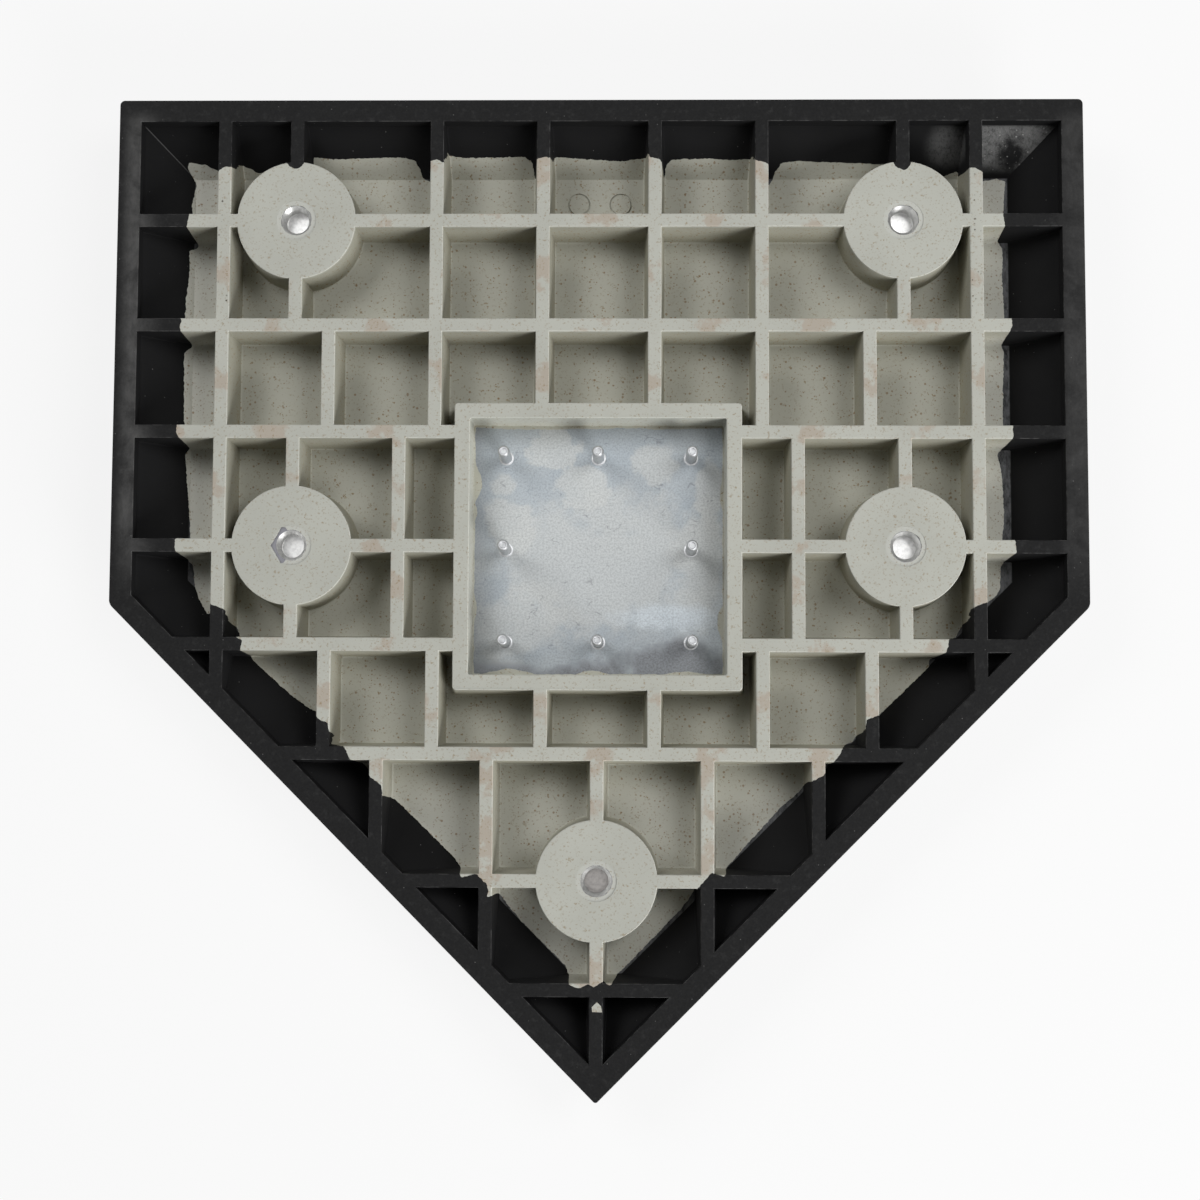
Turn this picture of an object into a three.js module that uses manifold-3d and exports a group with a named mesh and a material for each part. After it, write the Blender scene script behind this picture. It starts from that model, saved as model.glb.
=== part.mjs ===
// Moulded rubber home plate, lying on its playing face with the ribbed underside up.
// Millimetres, +Z up. The straight front edge is at +Y and the point at -Y.
// The origin is under the middle of the plate, on the playing face.

import * as THREE from "three";
import { ConvexGeometry } from "three/addons/geometries/ConvexGeometry.js";
import { mergeVertices } from "three/addons/utils/BufferGeometryUtils.js";
import Module from "manifold-3d";

const wasm = await Module();
wasm.setup();

// Playing face: five sides, two square front corners and a square point
const PLAY_WIDTH = 431.8;
const PLAY_SIDE = 215.9;

// Heights
const SLAB_THICKNESS = 12.7;
const RIB_HEIGHT = 25.4;

// Bevelled border, measured inward from the outer edge of the underside
const BORDER_RUN = 31.75;
const EDGE_LAND = 6;
const RIM_WIDTH = 11.2;
const RIM_DROP = 8;
const FLOOR_INSET = 34.5;
const FRONT_CORNER_RADIUS = 2.5;
const SHOULDER_RADIUS = 5;
const POINT_RADIUS = 1.5;

// Ribs: thickness on top, and how much each side widens on the way down
const RIB_TOP = 6.7;
const RIB_DRAFT = 1.8;

// Rib rows, each as its distance from the front edge
const ROW_FRONT_BOSSES = 63;
const ROW_SECOND = 117.4;
const ROW_THIRD = 172.4;
const ROW_MIDDLE_BOSSES = 230.7;
const ROW_FIFTH = 280.8;
const ROW_SIXTH = 335.7;
const ROW_POINT_BOSS = 399;
const ROW_LAST = 452.8;

// Rib columns, each as its distance from the centre line or from the column before,
// but the bosses' columns from the side edges
const CENTRE_BAY = 57.3;
const BAY = 54.7;
const BOSS_FROM_SIDE = 92.15;
const COLLAR_SIDE_COLUMN = 101.4;
const POINT_BAY = 55.5;

// Round bosses and the blind threaded inserts in them
const BOSS_DIAMETER = 60.8;
const INSERT_ACROSS_FLATS = 19.05;
const INSERT_HEIGHT = 11.1;
const INSERT_FLOOR = 2.2;
const INSERT_BORE = 12;
const COUNTERSINK_DIAMETER = 15.6;
const COUNTERSINK_DEPTH = 1.6;
const INSERT_SKIN = 1;
const SKIN_OPENING = 16;

// Square collar and the steel plate that its foot grips
const PLATE_SIDE = 134;
const PLATE_THICKNESS = 3;
const PLATE_CORNER_RADIUS = 3;
const PLATE_LIP = 3.5;
const RECESS_TAPER = 2.5;
const COLLAR_WALL = 7;
const COLLAR_CORNER_RADIUS = 3.5;

// Studs: a three by three square without its middle, flat heads below the plate, height above it
const STUD_PITCH = 47.8;
const STUD_DIAMETER = 6;
const STUD_CHAMFER = 1;
const STUD_HEIGHT = 25.4;
const STUD_HEAD_DIAMETER = 12;
const STUD_HEAD_HEIGHT = 3;

// Clearance between bonded or fitted neighbours, and how far a cutter passes the face it cuts
const FIT_GAP = 0.3;
const OVERCUT = 1;

// Facets
const ROUND_SIDES = 48;
const SMALL_ROUND_SIDES = 24;
const CORNER_STEPS = 2;

// Heights and places worked out from the sizes above
const HEIGHT = SLAB_THICKNESS + RIB_HEIGHT;
const HALF_WIDTH = PLAY_WIDTH / 2 + BORDER_RUN;
const BOSS_COLUMN = HALF_WIDTH - BOSS_FROM_SIDE;
const SIDE_LENGTH = PLAY_SIDE + BORDER_RUN * Math.SQRT2;
const POINT_CUT = POINT_RADIUS * (Math.SQRT2 - 1);
const FRONT_Y = (SIDE_LENGTH + HALF_WIDTH - POINT_CUT) / 2;
const SHOULDER_Y = FRONT_Y - SIDE_LENGTH;
const POINT_Y = SHOULDER_Y - HALF_WIDTH;
const COLLAR_Y = FRONT_Y - ROW_MIDDLE_BOSSES;
const LIP_OPENING = PLATE_SIDE - 2 * PLATE_LIP;
const RECESS_OPENING = LIP_OPENING + 2 * RECESS_TAPER;
const COLLAR_OUTSIDE = RECESS_OPENING + 2 * COLLAR_WALL;
const PLATE_BOTTOM = SLAB_THICKNESS + FIT_GAP;
const PLATE_TOP = PLATE_BOTTOM + PLATE_THICKNESS;
const STUD_BOTTOM = PLATE_BOTTOM - FIT_GAP - STUD_HEAD_HEIGHT;
const STUD_LENGTH = PLATE_TOP + STUD_HEIGHT - STUD_BOTTOM;
const INSERT_TOP = HEIGHT - INSERT_SKIN - FIT_GAP;
const INSERT_BOTTOM = INSERT_TOP - INSERT_HEIGHT;

// Boss and stud places, by name
const BOSSES = {
  front_left: [-BOSS_COLUMN, FRONT_Y - ROW_FRONT_BOSSES],
  front_right: [BOSS_COLUMN, FRONT_Y - ROW_FRONT_BOSSES],
  middle_left: [-BOSS_COLUMN, FRONT_Y - ROW_MIDDLE_BOSSES],
  middle_right: [BOSS_COLUMN, FRONT_Y - ROW_MIDDLE_BOSSES],
  point: [0, FRONT_Y - ROW_POINT_BOSS],
};
const STUDS = {
  front_left: [-STUD_PITCH, STUD_PITCH],
  front_centre: [0, STUD_PITCH],
  front_right: [STUD_PITCH, STUD_PITCH],
  middle_left: [-STUD_PITCH, 0],
  middle_right: [STUD_PITCH, 0],
  back_left: [-STUD_PITCH, -STUD_PITCH],
  back_centre: [0, -STUD_PITCH],
  back_right: [STUD_PITCH, -STUD_PITCH],
};

const MATERIALS = {
  border: new THREE.MeshStandardMaterial({ color: 0x2a2a2b, roughness: 0.75, metalness: 0 }),
  core: new THREE.MeshStandardMaterial({ color: 0xb4b7ac, roughness: 0.8, metalness: 0 }),
  plate: new THREE.MeshStandardMaterial({ color: 0x8d979c, roughness: 0.45, metalness: 0.8 }),
  stud: new THREE.MeshStandardMaterial({ color: 0x7d8082, roughness: 0.4, metalness: 0.9 }),
  insert: new THREE.MeshStandardMaterial({ color: 0x9a9a94, roughness: 0.35, metalness: 0.9 }),
};

// Conversion between three.js geometry and solids that can be joined and cut

function solidOf(geometry) {
  geometry.deleteAttribute("normal");
  geometry.deleteAttribute("uv");
  const merged = mergeVertices(geometry);
  return new wasm.Manifold(
    new wasm.Mesh({
      numProp: 3,
      vertProperties: new Float32Array(merged.attributes.position.array),
      triVerts: new Uint32Array(merged.index.array),
    }),
  );
}

function geometryOf(solid) {
  const mesh = solid.getMesh();
  const geometry = new THREE.BufferGeometry();
  geometry.setAttribute("position", new THREE.BufferAttribute(mesh.vertProperties, 3));
  geometry.setIndex(new THREE.BufferAttribute(mesh.triVerts, 1));
  geometry.computeVertexNormals();
  return geometry;
}

function joined(solids) {
  return solids.reduce((sum, solid) => sum.add(solid));
}

// Closed outline with a round at each corner, corners listed anticlockwise
function roundedOutline(corners, radii) {
  const shape = new THREE.Shape();
  corners.forEach((corner, i) => {
    const before = corners[(i + corners.length - 1) % corners.length];
    const after = corners[(i + 1) % corners.length];
    const into = corner.clone().sub(before).normalize();
    const out = after.clone().sub(corner).normalize();
    const turn = Math.acos(into.dot(out));
    const setback = radii[i] * Math.tan(turn / 2);
    const start = corner.clone().addScaledVector(into, -setback);
    const centre = start.clone().add(new THREE.Vector2(-into.y, into.x).multiplyScalar(radii[i]));
    const angle = into.angle() - Math.PI / 2;
    shape.absarc(centre.x, centre.y, radii[i], angle, angle + turn, false);
  });
  shape.closePath();
  return shape;
}

// The plate's outline moved in from the outer edge of the underside
function plateOutline(inset) {
  const x = HALF_WIDTH - inset;
  const front = FRONT_Y - inset;
  const shoulder = SHOULDER_Y + inset * (Math.SQRT2 - 1);
  const point = POINT_Y + inset * Math.SQRT2;
  const corners = [
    new THREE.Vector2(x, front),
    new THREE.Vector2(-x, front),
    new THREE.Vector2(-x, shoulder),
    new THREE.Vector2(0, point),
    new THREE.Vector2(x, shoulder),
  ];
  const radii = [FRONT_CORNER_RADIUS, FRONT_CORNER_RADIUS, SHOULDER_RADIUS, POINT_RADIUS, SHOULDER_RADIUS];
  return roundedOutline(corners, radii);
}

function squareOutline(side, radius) {
  const half = side / 2;
  const corners = [
    new THREE.Vector2(half, half),
    new THREE.Vector2(-half, half),
    new THREE.Vector2(-half, -half),
    new THREE.Vector2(half, -half),
  ];
  return roundedOutline(corners, [radius, radius, radius, radius]);
}

// Convex solid through outlines at given heights
function stacked(levels) {
  const points = levels.flatMap(([z, outline]) =>
    outline.getPoints(CORNER_STEPS).map((p) => new THREE.Vector3(p.x, p.y, z)),
  );
  return new ConvexGeometry(points);
}

function upright(outline, bottom, top) {
  const geometry = new THREE.ExtrudeGeometry(outline, {
    depth: top - bottom,
    bevelEnabled: false,
    curveSegments: CORNER_STEPS,
  });
  return geometry.translate(0, 0, bottom);
}

function roundBar(bottomDiameter, topDiameter, bottom, top, sides) {
  const bar = new THREE.CylinderGeometry(topDiameter / 2, bottomDiameter / 2, top - bottom, sides);
  return bar.rotateX(Math.PI / 2).translate(0, 0, (bottom + top) / 2);
}

// Hexagonal bar with two flats square to the Y axis
function hexBar(acrossFlats, bottom, top) {
  const corner = (2 * acrossFlats) / Math.sqrt(3);
  return roundBar(corner, corner, bottom, top, 6).rotateZ(Math.PI / 2);
}

// Drafted rib along Y, or along X when turned, passing both ends of the rib height
function rib(length) {
  const widen = (RIB_DRAFT * OVERCUT) / RIB_HEIGHT;
  const halfTop = RIB_TOP / 2 - widen;
  const halfFoot = RIB_TOP / 2 + RIB_DRAFT + widen;
  const foot = SLAB_THICKNESS - OVERCUT;
  const top = HEIGHT + OVERCUT;
  const section = new THREE.Shape([
    new THREE.Vector2(-halfFoot, foot),
    new THREE.Vector2(halfFoot, foot),
    new THREE.Vector2(halfTop, top),
    new THREE.Vector2(-halfTop, top),
  ]);
  const bar = new THREE.ExtrudeGeometry(section, { depth: length, bevelEnabled: false });
  return bar.translate(0, 0, -length / 2).rotateX(Math.PI / 2);
}

function rowRib(y) {
  return solidOf(rib(2 * HALF_WIDTH).rotateZ(Math.PI / 2).translate(0, y, 0));
}

function columnRib(x, fromY, toY) {
  return solidOf(rib(fromY - toY).translate(x, (fromY + toY) / 2, 0));
}

// Waffle pattern: rows right across, and columns that change from bay to bay

function waffle() {
  const rows = [
    ROW_FRONT_BOSSES,
    ROW_SECOND,
    ROW_THIRD,
    ROW_MIDDLE_BOSSES,
    ROW_FIFTH,
    ROW_SIXTH,
    ROW_POINT_BOSS,
    ROW_LAST,
  ].map((fromFront) => FRONT_Y - fromFront);
  const lines = [FRONT_Y, ...rows, POINT_Y];
  const first = CENTRE_BAY / 2;
  const second = first + BAY;
  const third = second + BAY;
  const outer = third + BAY;
  const bayColumns = [
    [first, second, BOSS_COLUMN, outer],
    [first, second, BOSS_COLUMN, outer],
    [first, second, third, outer],
    [COLLAR_SIDE_COLUMN, BOSS_COLUMN, outer],
    [COLLAR_SIDE_COLUMN, BOSS_COLUMN, outer],
    [first, second, third, outer],
    [0, POINT_BAY, 2 * POINT_BAY],
    [0, POINT_BAY],
    [0],
  ];
  const columns = bayColumns.flatMap((distances, bay) =>
    distances
      .flatMap((x) => (x === 0 ? [0] : [-x, x]))
      .map((x) => columnRib(x, lines[bay], lines[bay + 1])),
  );
  return joined([...rows.map(rowRib), ...columns]);
}

function bosses() {
  const bottom = SLAB_THICKNESS - OVERCUT;
  const top = HEIGHT + OVERCUT;
  return Object.values(BOSSES).map(([x, y]) =>
    solidOf(roundBar(BOSS_DIAMETER, BOSS_DIAMETER, bottom, top, ROUND_SIDES).translate(x, y, 0)),
  );
}

function collarBlock() {
  const foot = squareOutline(COLLAR_OUTSIDE + 2 * RIB_DRAFT, COLLAR_CORNER_RADIUS);
  const brow = squareOutline(COLLAR_OUTSIDE, COLLAR_CORNER_RADIUS);
  const block = stacked([
    [SLAB_THICKNESS, foot],
    [HEIGHT, brow],
    [HEIGHT + OVERCUT, brow],
  ]);
  return solidOf(block.translate(0, COLLAR_Y, 0));
}

// Space that the anchor plate, its studs and the way in to them take out of the core
function collarRecess() {
  const mouth = stacked([
    [PLATE_TOP - OVERCUT, squareOutline(LIP_OPENING, PLATE_CORNER_RADIUS)],
    [PLATE_TOP, squareOutline(LIP_OPENING, PLATE_CORNER_RADIUS)],
    [HEIGHT, squareOutline(RECESS_OPENING, PLATE_CORNER_RADIUS)],
    [HEIGHT + OVERCUT, squareOutline(RECESS_OPENING, PLATE_CORNER_RADIUS)],
  ]);
  const groove = squareOutline(PLATE_SIDE + 2 * FIT_GAP, PLATE_CORNER_RADIUS);
  const headPocket = STUD_HEAD_DIAMETER + 2 * FIT_GAP;
  const headPockets = Object.values(STUDS).map(([x, y]) =>
    solidOf(
      roundBar(headPocket, headPocket, STUD_BOTTOM - FIT_GAP, PLATE_BOTTOM, SMALL_ROUND_SIDES).translate(x, y, 0),
    ),
  );
  const recess = joined([
    solidOf(mouth),
    solidOf(upright(groove, PLATE_BOTTOM - FIT_GAP, PLATE_TOP + FIT_GAP)),
    ...headPockets,
  ]);
  return recess.translate([0, COLLAR_Y, 0]);
}

function insertSpace([x, y]) {
  const pocket = hexBar(INSERT_ACROSS_FLATS + 2 * FIT_GAP, INSERT_BOTTOM - FIT_GAP, INSERT_TOP + FIT_GAP);
  const opening = roundBar(SKIN_OPENING, SKIN_OPENING, INSERT_TOP, HEIGHT + OVERCUT, SMALL_ROUND_SIDES);
  return solidOf(pocket).add(solidOf(opening)).translate([x, y, 0]);
}

// The whole rubber moulding, before it is divided into black border and white core
function moulding() {
  const bevelled = stacked([
    [0, plateOutline(BORDER_RUN)],
    [HEIGHT - EDGE_LAND, plateOutline(0)],
    [HEIGHT, plateOutline(0)],
  ]);
  const hollow = stacked([
    [SLAB_THICKNESS, plateOutline(FLOOR_INSET)],
    [HEIGHT - RIM_DROP, plateOutline(RIM_WIDTH)],
    [HEIGHT + OVERCUT, plateOutline(RIM_WIDTH)],
  ]);
  const ribwork = joined([waffle(), ...bosses(), collarBlock()]);
  return solidOf(bevelled).subtract(solidOf(hollow).subtract(ribwork));
}

function bondPrism(inset) {
  return solidOf(upright(plateOutline(inset), -OVERCUT, HEIGHT + OVERCUT));
}

function borderGeometry(rubber) {
  return geometryOf(rubber.subtract(bondPrism(BORDER_RUN - FIT_GAP / 2)));
}

function coreGeometry(rubber) {
  const white = rubber.intersect(bondPrism(BORDER_RUN + FIT_GAP / 2));
  const spaces = Object.values(BOSSES).map(insertSpace);
  return geometryOf(white.subtract(collarRecess()).subtract(joined(spaces)));
}

function plateGeometry() {
  const sheet = solidOf(upright(squareOutline(PLATE_SIDE, PLATE_CORNER_RADIUS), 0, PLATE_THICKNESS));
  const hole = STUD_DIAMETER + 2 * FIT_GAP;
  const holes = Object.values(STUDS).map(([x, y]) =>
    solidOf(roundBar(hole, hole, -OVERCUT, PLATE_THICKNESS + OVERCUT, SMALL_ROUND_SIDES).translate(x, y, 0)),
  );
  return geometryOf(sheet.subtract(joined(holes)));
}

function studGeometry() {
  const radius = STUD_DIAMETER / 2;
  const profile = [
    new THREE.Vector2(0, 0),
    new THREE.Vector2(STUD_HEAD_DIAMETER / 2, 0),
    new THREE.Vector2(STUD_HEAD_DIAMETER / 2, STUD_HEAD_HEIGHT),
    new THREE.Vector2(radius, STUD_HEAD_HEIGHT),
    new THREE.Vector2(radius, STUD_LENGTH - STUD_CHAMFER),
    new THREE.Vector2(radius - STUD_CHAMFER, STUD_LENGTH),
    new THREE.Vector2(0, STUD_LENGTH),
  ];
  return new THREE.LatheGeometry(profile, SMALL_ROUND_SIDES).rotateX(Math.PI / 2);
}

function insertGeometry() {
  const nut = solidOf(hexBar(INSERT_ACROSS_FLATS, 0, INSERT_HEIGHT));
  const bore = roundBar(INSERT_BORE, INSERT_BORE, INSERT_FLOOR, INSERT_HEIGHT + OVERCUT, SMALL_ROUND_SIDES);
  const countersink = roundBar(
    INSERT_BORE,
    COUNTERSINK_DIAMETER,
    INSERT_HEIGHT - COUNTERSINK_DEPTH,
    INSERT_HEIGHT,
    SMALL_ROUND_SIDES,
  );
  return geometryOf(nut.subtract(solidOf(bore)).subtract(solidOf(countersink)));
}

// Scene graph

function piece(name, geometry, material, x, y, z) {
  const mesh = new THREE.Mesh(geometry, material);
  mesh.name = name;
  mesh.position.set(x, y, z);
  return mesh;
}

function rubberGroup() {
  const group = new THREE.Group();
  const rubber = moulding();
  group.add(piece("core", coreGeometry(rubber), MATERIALS.core, 0, 0, 0));
  group.add(piece("border", borderGeometry(rubber), MATERIALS.border, 0, 0, 0));
  return group;
}

function anchorPlateGroup() {
  const group = new THREE.Group();
  group.position.set(0, COLLAR_Y, 0);
  group.add(piece("anchor_plate", plateGeometry(), MATERIALS.plate, 0, 0, PLATE_BOTTOM));
  for (const [place, [x, y]] of Object.entries(STUDS)) {
    group.add(piece(`stud_${place}`, studGeometry(), MATERIALS.stud, x, y, STUD_BOTTOM));
  }
  return group;
}

function insertGroup() {
  const group = new THREE.Group();
  for (const [place, [x, y]] of Object.entries(BOSSES)) {
    group.add(piece(`insert_${place}`, insertGeometry(), MATERIALS.insert, x, y, INSERT_BOTTOM));
  }
  return group;
}

const homePlate = new THREE.Group();
homePlate.add(rubberGroup(), anchorPlateGroup(), insertGroup());

export default homePlate;
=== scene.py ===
"""Looks of a moulded rubber home plate that lies on its playing face with the ribbed underside up.

Laid out as an add-on and run as a script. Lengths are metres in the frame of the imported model:
+Z up, the straight front edge at +Y, the point at -Y. Values given in millimetres are times MM.
"""

import math

import bmesh
import bpy
from bpy.props import FloatProperty, FloatVectorProperty, PointerProperty
from mathutils import Matrix, Vector, noise
from mathutils.bvhtree import BVHTree


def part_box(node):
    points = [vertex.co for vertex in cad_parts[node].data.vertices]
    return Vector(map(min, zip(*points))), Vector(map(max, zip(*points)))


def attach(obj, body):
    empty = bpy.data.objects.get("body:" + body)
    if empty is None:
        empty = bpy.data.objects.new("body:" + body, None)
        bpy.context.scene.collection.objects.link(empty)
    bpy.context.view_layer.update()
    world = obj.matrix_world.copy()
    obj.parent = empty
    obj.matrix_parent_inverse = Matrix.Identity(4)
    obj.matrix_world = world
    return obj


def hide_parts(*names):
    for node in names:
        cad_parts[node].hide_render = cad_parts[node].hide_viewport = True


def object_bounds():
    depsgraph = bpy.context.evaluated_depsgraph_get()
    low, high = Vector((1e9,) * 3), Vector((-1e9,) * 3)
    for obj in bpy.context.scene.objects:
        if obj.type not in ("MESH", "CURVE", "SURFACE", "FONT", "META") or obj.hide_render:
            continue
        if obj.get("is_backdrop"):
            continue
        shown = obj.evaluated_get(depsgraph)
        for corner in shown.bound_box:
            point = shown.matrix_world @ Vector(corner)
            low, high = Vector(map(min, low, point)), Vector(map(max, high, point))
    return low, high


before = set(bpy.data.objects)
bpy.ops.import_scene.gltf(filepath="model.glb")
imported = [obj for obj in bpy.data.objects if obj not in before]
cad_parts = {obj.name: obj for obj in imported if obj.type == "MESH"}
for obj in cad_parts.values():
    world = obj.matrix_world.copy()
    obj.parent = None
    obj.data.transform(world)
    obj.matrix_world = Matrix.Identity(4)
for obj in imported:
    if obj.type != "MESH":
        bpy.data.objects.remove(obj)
cad_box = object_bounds()

bl_info = {
    "name": "Home Plate",
    "version": (1, 0, 0),
    "blender": (4, 5, 0),
    "location": "3D View > Sidebar > Home Plate",
    "description": "Rubber home plate, ribbed underside up, with its anchor plate, studs and inserts",
    "category": "Object",
}

BODY = "root"
MM = 0.001
SQRT2 = math.sqrt(2)

# Places and sizes that the frame gives
BORDER_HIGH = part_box("border")[1]
PLATE_LOW, PLATE_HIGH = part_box("anchor_plate")
HALF_WIDTH = BORDER_HIGH.x
FRONT_Y = BORDER_HIGH.y
HEIGHT = BORDER_HIGH.z
PLATE_TOP = PLATE_HIGH.z
PLATE_MIDDLE = (PLATE_LOW + PLATE_HIGH) / 2
INSERTS = ("front_left", "front_right", "middle_left", "middle_right", "point")
STUDS = (
    "front_left", "front_centre", "front_right", "middle_left",
    "middle_right", "back_left", "back_centre", "back_right",
)

# Clearance of the solids, how far a cutter passes the face it cuts, the least gap that counts,
# what is merged, what a cut snaps to, and the least edge that is kept where a boss meets a rib
FIT_GAP = 0.3 * MM
OVERCUT = 1 * MM
TOUCH = 0.02 * MM
WELD = 0.001 * MM
CUT_SNAP = WELD / 10
SHORT_EDGE = 0.5 * MM
SLAB = PLATE_LOW.z - FIT_GAP

# Facets, and the angles up to which edges look smooth, from which they are sharp and up to which
# they are flat
BOSS_SIDES = 64
CORNER_SEGMENTS = 6
ROUND_SEGMENTS = 3
ROUND_SIDES = 48
HEX_TURN = math.pi / 6
SOFT_ANGLE = math.radians(33)
SHARP_ANGLE = math.radians(20)
FLAT_ANGLE = math.radians(0.5)

# Upward part of a normal below which a pocket's face is steep or a cutter's face is a wall, and the
# share of its length that the edge of a foot rises at most
STEEP = 0.3
WALL = 0.5
RISING = 0.9

# Fillet sizes to try in a pocket, as shares of the full one, until one fits in it
FILLET_SHARES = (1, 0.75, 0.5, 0.3, 0.15)

# Bond between black and white rubber, clockwise from the front left corner: millimetres along
# the side, and inset from its outer edge. It steps out over cell floors and in across ribs, and
# is ragged above the split height. The chip is white on the last rib, by its corners in millimetres.
BOND_FRONT = (
    (-214, 42), (-213, 37), (-217, 29), (-216, 26.5), (-207, 28), (-201, 30.5), (-197, 38),
    (-193, 35), (-189, 35), (-188, 28), (-180, 31.5), (-163, 31), (-159, 35), (-156, 36.3),
    (-153, 35), (-151, 31), (-150, 24.5), (-139, 25.5), (-105, 24.5), (-97, 26), (-94.5, 30),
    (-93, 34), (-88, 36), (-87, 32), (-83, 31.3), (-80, 33), (-79, 24), (-71, 25), (-39, 24.5),
    (-35.5, 27), (-34, 34.5), (-32, 31), (-28, 30), (-25, 30.5), (-23.5, 24.5), (-17, 25),
    (11, 26.5), (24, 25), (26, 30.5), (31, 31), (33.5, 35), (35, 27.5), (38, 25.7), (55, 25.3),
    (71, 26), (79, 25.5), (80, 31.7), (86, 33.3), (89, 38), (92, 31), (95, 27.3), (103, 26.4),
    (141, 27.7), (150, 28), (150.8, 34), (152.6, 36), (155.8, 37), (158, 36.4), (159.6, 33.5),
    (161, 31), (179, 33.4), (187, 31), (189, 36.3), (192, 35.7), (197, 39), (201, 35.5),
    (208, 34.3), (212.5, 35.5),
)
BOND_RIGHT = (
    (208, 36), (196, 36.5), (194, 41.4), (187, 40.5), (182, 37), (168, 37.4), (146, 36.6),
    (140, 37.8), (136, 37.4), (132, 38.8), (128, 37), (108, 37.6), (89, 37.8), (84, 37.6),
    (78, 37.7), (74, 41), (68, 39.5), (61, 38.6), (42, 37.8), (29, 39), (26, 37), (20, 36.7),
    (15, 40), (4, 40.3),
)
BOND_SLANT_RIGHT = (
    (25, 35.1), (32, 36), (37, 39), (42, 41), (46, 37.5), (55, 34.7), (62, 38.5), (65, 36),
    (68, 34.8), (73, 36), (76, 33.8), (93, 34), (111, 34.3), (114, 36.4), (120, 39), (124, 36),
    (131, 34.3), (138, 37.5), (145, 35.8), (155, 34.7), (162, 37), (168, 35.5), (181, 36.7),
    (210, 35.3), (226, 34.2), (229, 40), (239, 39.4), (246, 37), (254, 36), (297, 35.4),
    (304, 36), (306, 40.5), (309, 41),
)
BOND_SLANT_LEFT = (
    (309, 39.6), (306, 38.8), (304, 34), (300, 31.8), (293, 34.6), (260, 34.4), (248, 35.6),
    (242, 36.4), (240, 33.2), (238, 36), (235, 37.6), (228, 37.3), (224, 31), (214, 32.7),
    (174, 32.2), (167, 31), (163, 34.5), (156, 33.4), (142, 32.5), (136, 34.6), (130, 30.3),
    (127, 33.7), (121, 37), (118, 35.3), (114, 35.4), (106, 33), (96, 31.2), (70, 29.7),
    (64, 31), (61, 35.5), (55, 33.2), (47, 36.3), (43, 39.6), (36, 36.5), (35, 29.5), (25, 32),
)
BOND_LEFT = (
    (4, 37.9), (15, 36.6), (18, 34), (22, 33), (26, 33), (28, 35.2), (47, 33.9), (73, 31.8),
    (77, 34.5), (81, 32.5), (85, 32.7), (90, 31), (127, 30.5), (130, 34.2), (135, 33.4),
    (139, 34), (144, 30.6), (155, 30.8), (166, 32), (181, 32), (183, 36), (187, 35.5),
    (191, 36.4), (194.5, 37.2), (197, 33), (206, 32.7),
)
BOND_STEP = 0.55 * MM
BOND_SMOOTHING = 2
BOND_RAGGED = ((0.3 * MM, 350), (0.32 * MM, 900))
BOND_SPLIT_Z = 10 * MM
CHIP = ((-2, -207), (0.6, -204.6), (2.6, -206.5), (3.2, -209.6), (-1.8, -209.4))

# Lumps of rubber that crept over the steel plate: side of the recess, then millimetres
# along it from its middle, half length and reach. The sharpness shapes how each falls off.
LIP_LUMPS = (
    ("left", 35, 11, 3.4),
    ("left", 20, 5, 1.2),
    ("left", -31, 7, 1.4),
    ("back", -46, 15, 2.4),
    ("back", -3, 9, 1.8),
    ("back", 46, 13, 1.4),
    ("right", 29, 9, 1.4),
    ("right", -38, 10, 2.8),
    ("front", -34, 36, 1.3),
    ("front", 2, 14, 0.9),
    ("front", 38, 30, 1.1),
)
LUMP_SHARPNESS = 1.5
LIP_STEP = 0.5 * MM
LIP_RAGGED = ((0.5 * MM, 160), (0.25 * MM, 600))

# Skin over the inserts. One insert's hexagon is laid bare between two directions from its axis.
SKIN_RAGGED = ((0.35 * MM, 420), (0.2 * MM, 1300))
TORN_INSERT = "middle_left"
TORN_FROM, TORN_TO = math.radians(106), math.radians(250)
TORN_MARGIN = 0.5 * MM
INSERT_RING_DEPTH = 0.3 * MM

# Line of the mould's rings on the floor
MOULD_RING_DEPTH = 0.7 * MM
MOULD_RING_LINE = 0.9 * MM

# Studs in millimetres: radius, and height above the plate or from the tip
STUD_SHANK = 2.95 * MM
STUD_FOOT = ((3.8, 0), (3.7, 0.12), (3.2, 0.15), (2.95, 0.3))
STUD_TIP = ((2.95, -1.5), (2.85, -1.2), (2.3, -0.15), (2.1, 0), (1.7, 0), (1.35, -0.6), (0, -0.7))
STUD_ROUGHNESS = 0.48

# Inserts: closed floor, thread, countersink and finish. One floor is duller than the others.
INSERT_FLOOR = 2.2 * MM
THREAD_CREST = 6.15 * MM
THREAD_ROOT = 6.9 * MM
THREAD_PITCH = 1.95 * MM
THREAD_FLAT = THREAD_PITCH / 8
SINK_DEPTH = 1.1 * MM
SINK_RADIUS = 7.8 * MM
INSERT_ROUGHNESS = 0.32
DISC_ROUGHNESS = 0.4
DULL_INSERT = "point"

# Puddles on the galvanised plate in millimetres: place from its middle, half widths, and
# softness of the edge
PUDDLES = (
    (2, -7, 52, 36, 0.35),
    (-23, 53, 15, 10, 0.08),
    (29, 44, 11, 12, 0.2),
    (-10, 32, 14, 12, 0.12),
    (-49, 33, 7, 6, 0.2),
    (-47, 14, 13, 14, 0.15),
    (57, 33, 8, 16, 0.2),
    (52, -10, 14, 30, 0.3),
    (-40, -38, 26, 18, 0.3),
)
# Painted sheen: a brighter streak across the plate, given like a puddle
SHEEN = (36, -35, 24, 6.5, 0.4)
DARK_BAND = (
    (40, -60, 33, 13, 0.35),
    (-42, -66, 28, 6, 0.6),
    (-2, -65, 17, 6, 0.6),
)

# Outer rib column that has pinholes in its top, from the bosses' column
PINHOLE_COLUMN = 37.25 * MM

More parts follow.
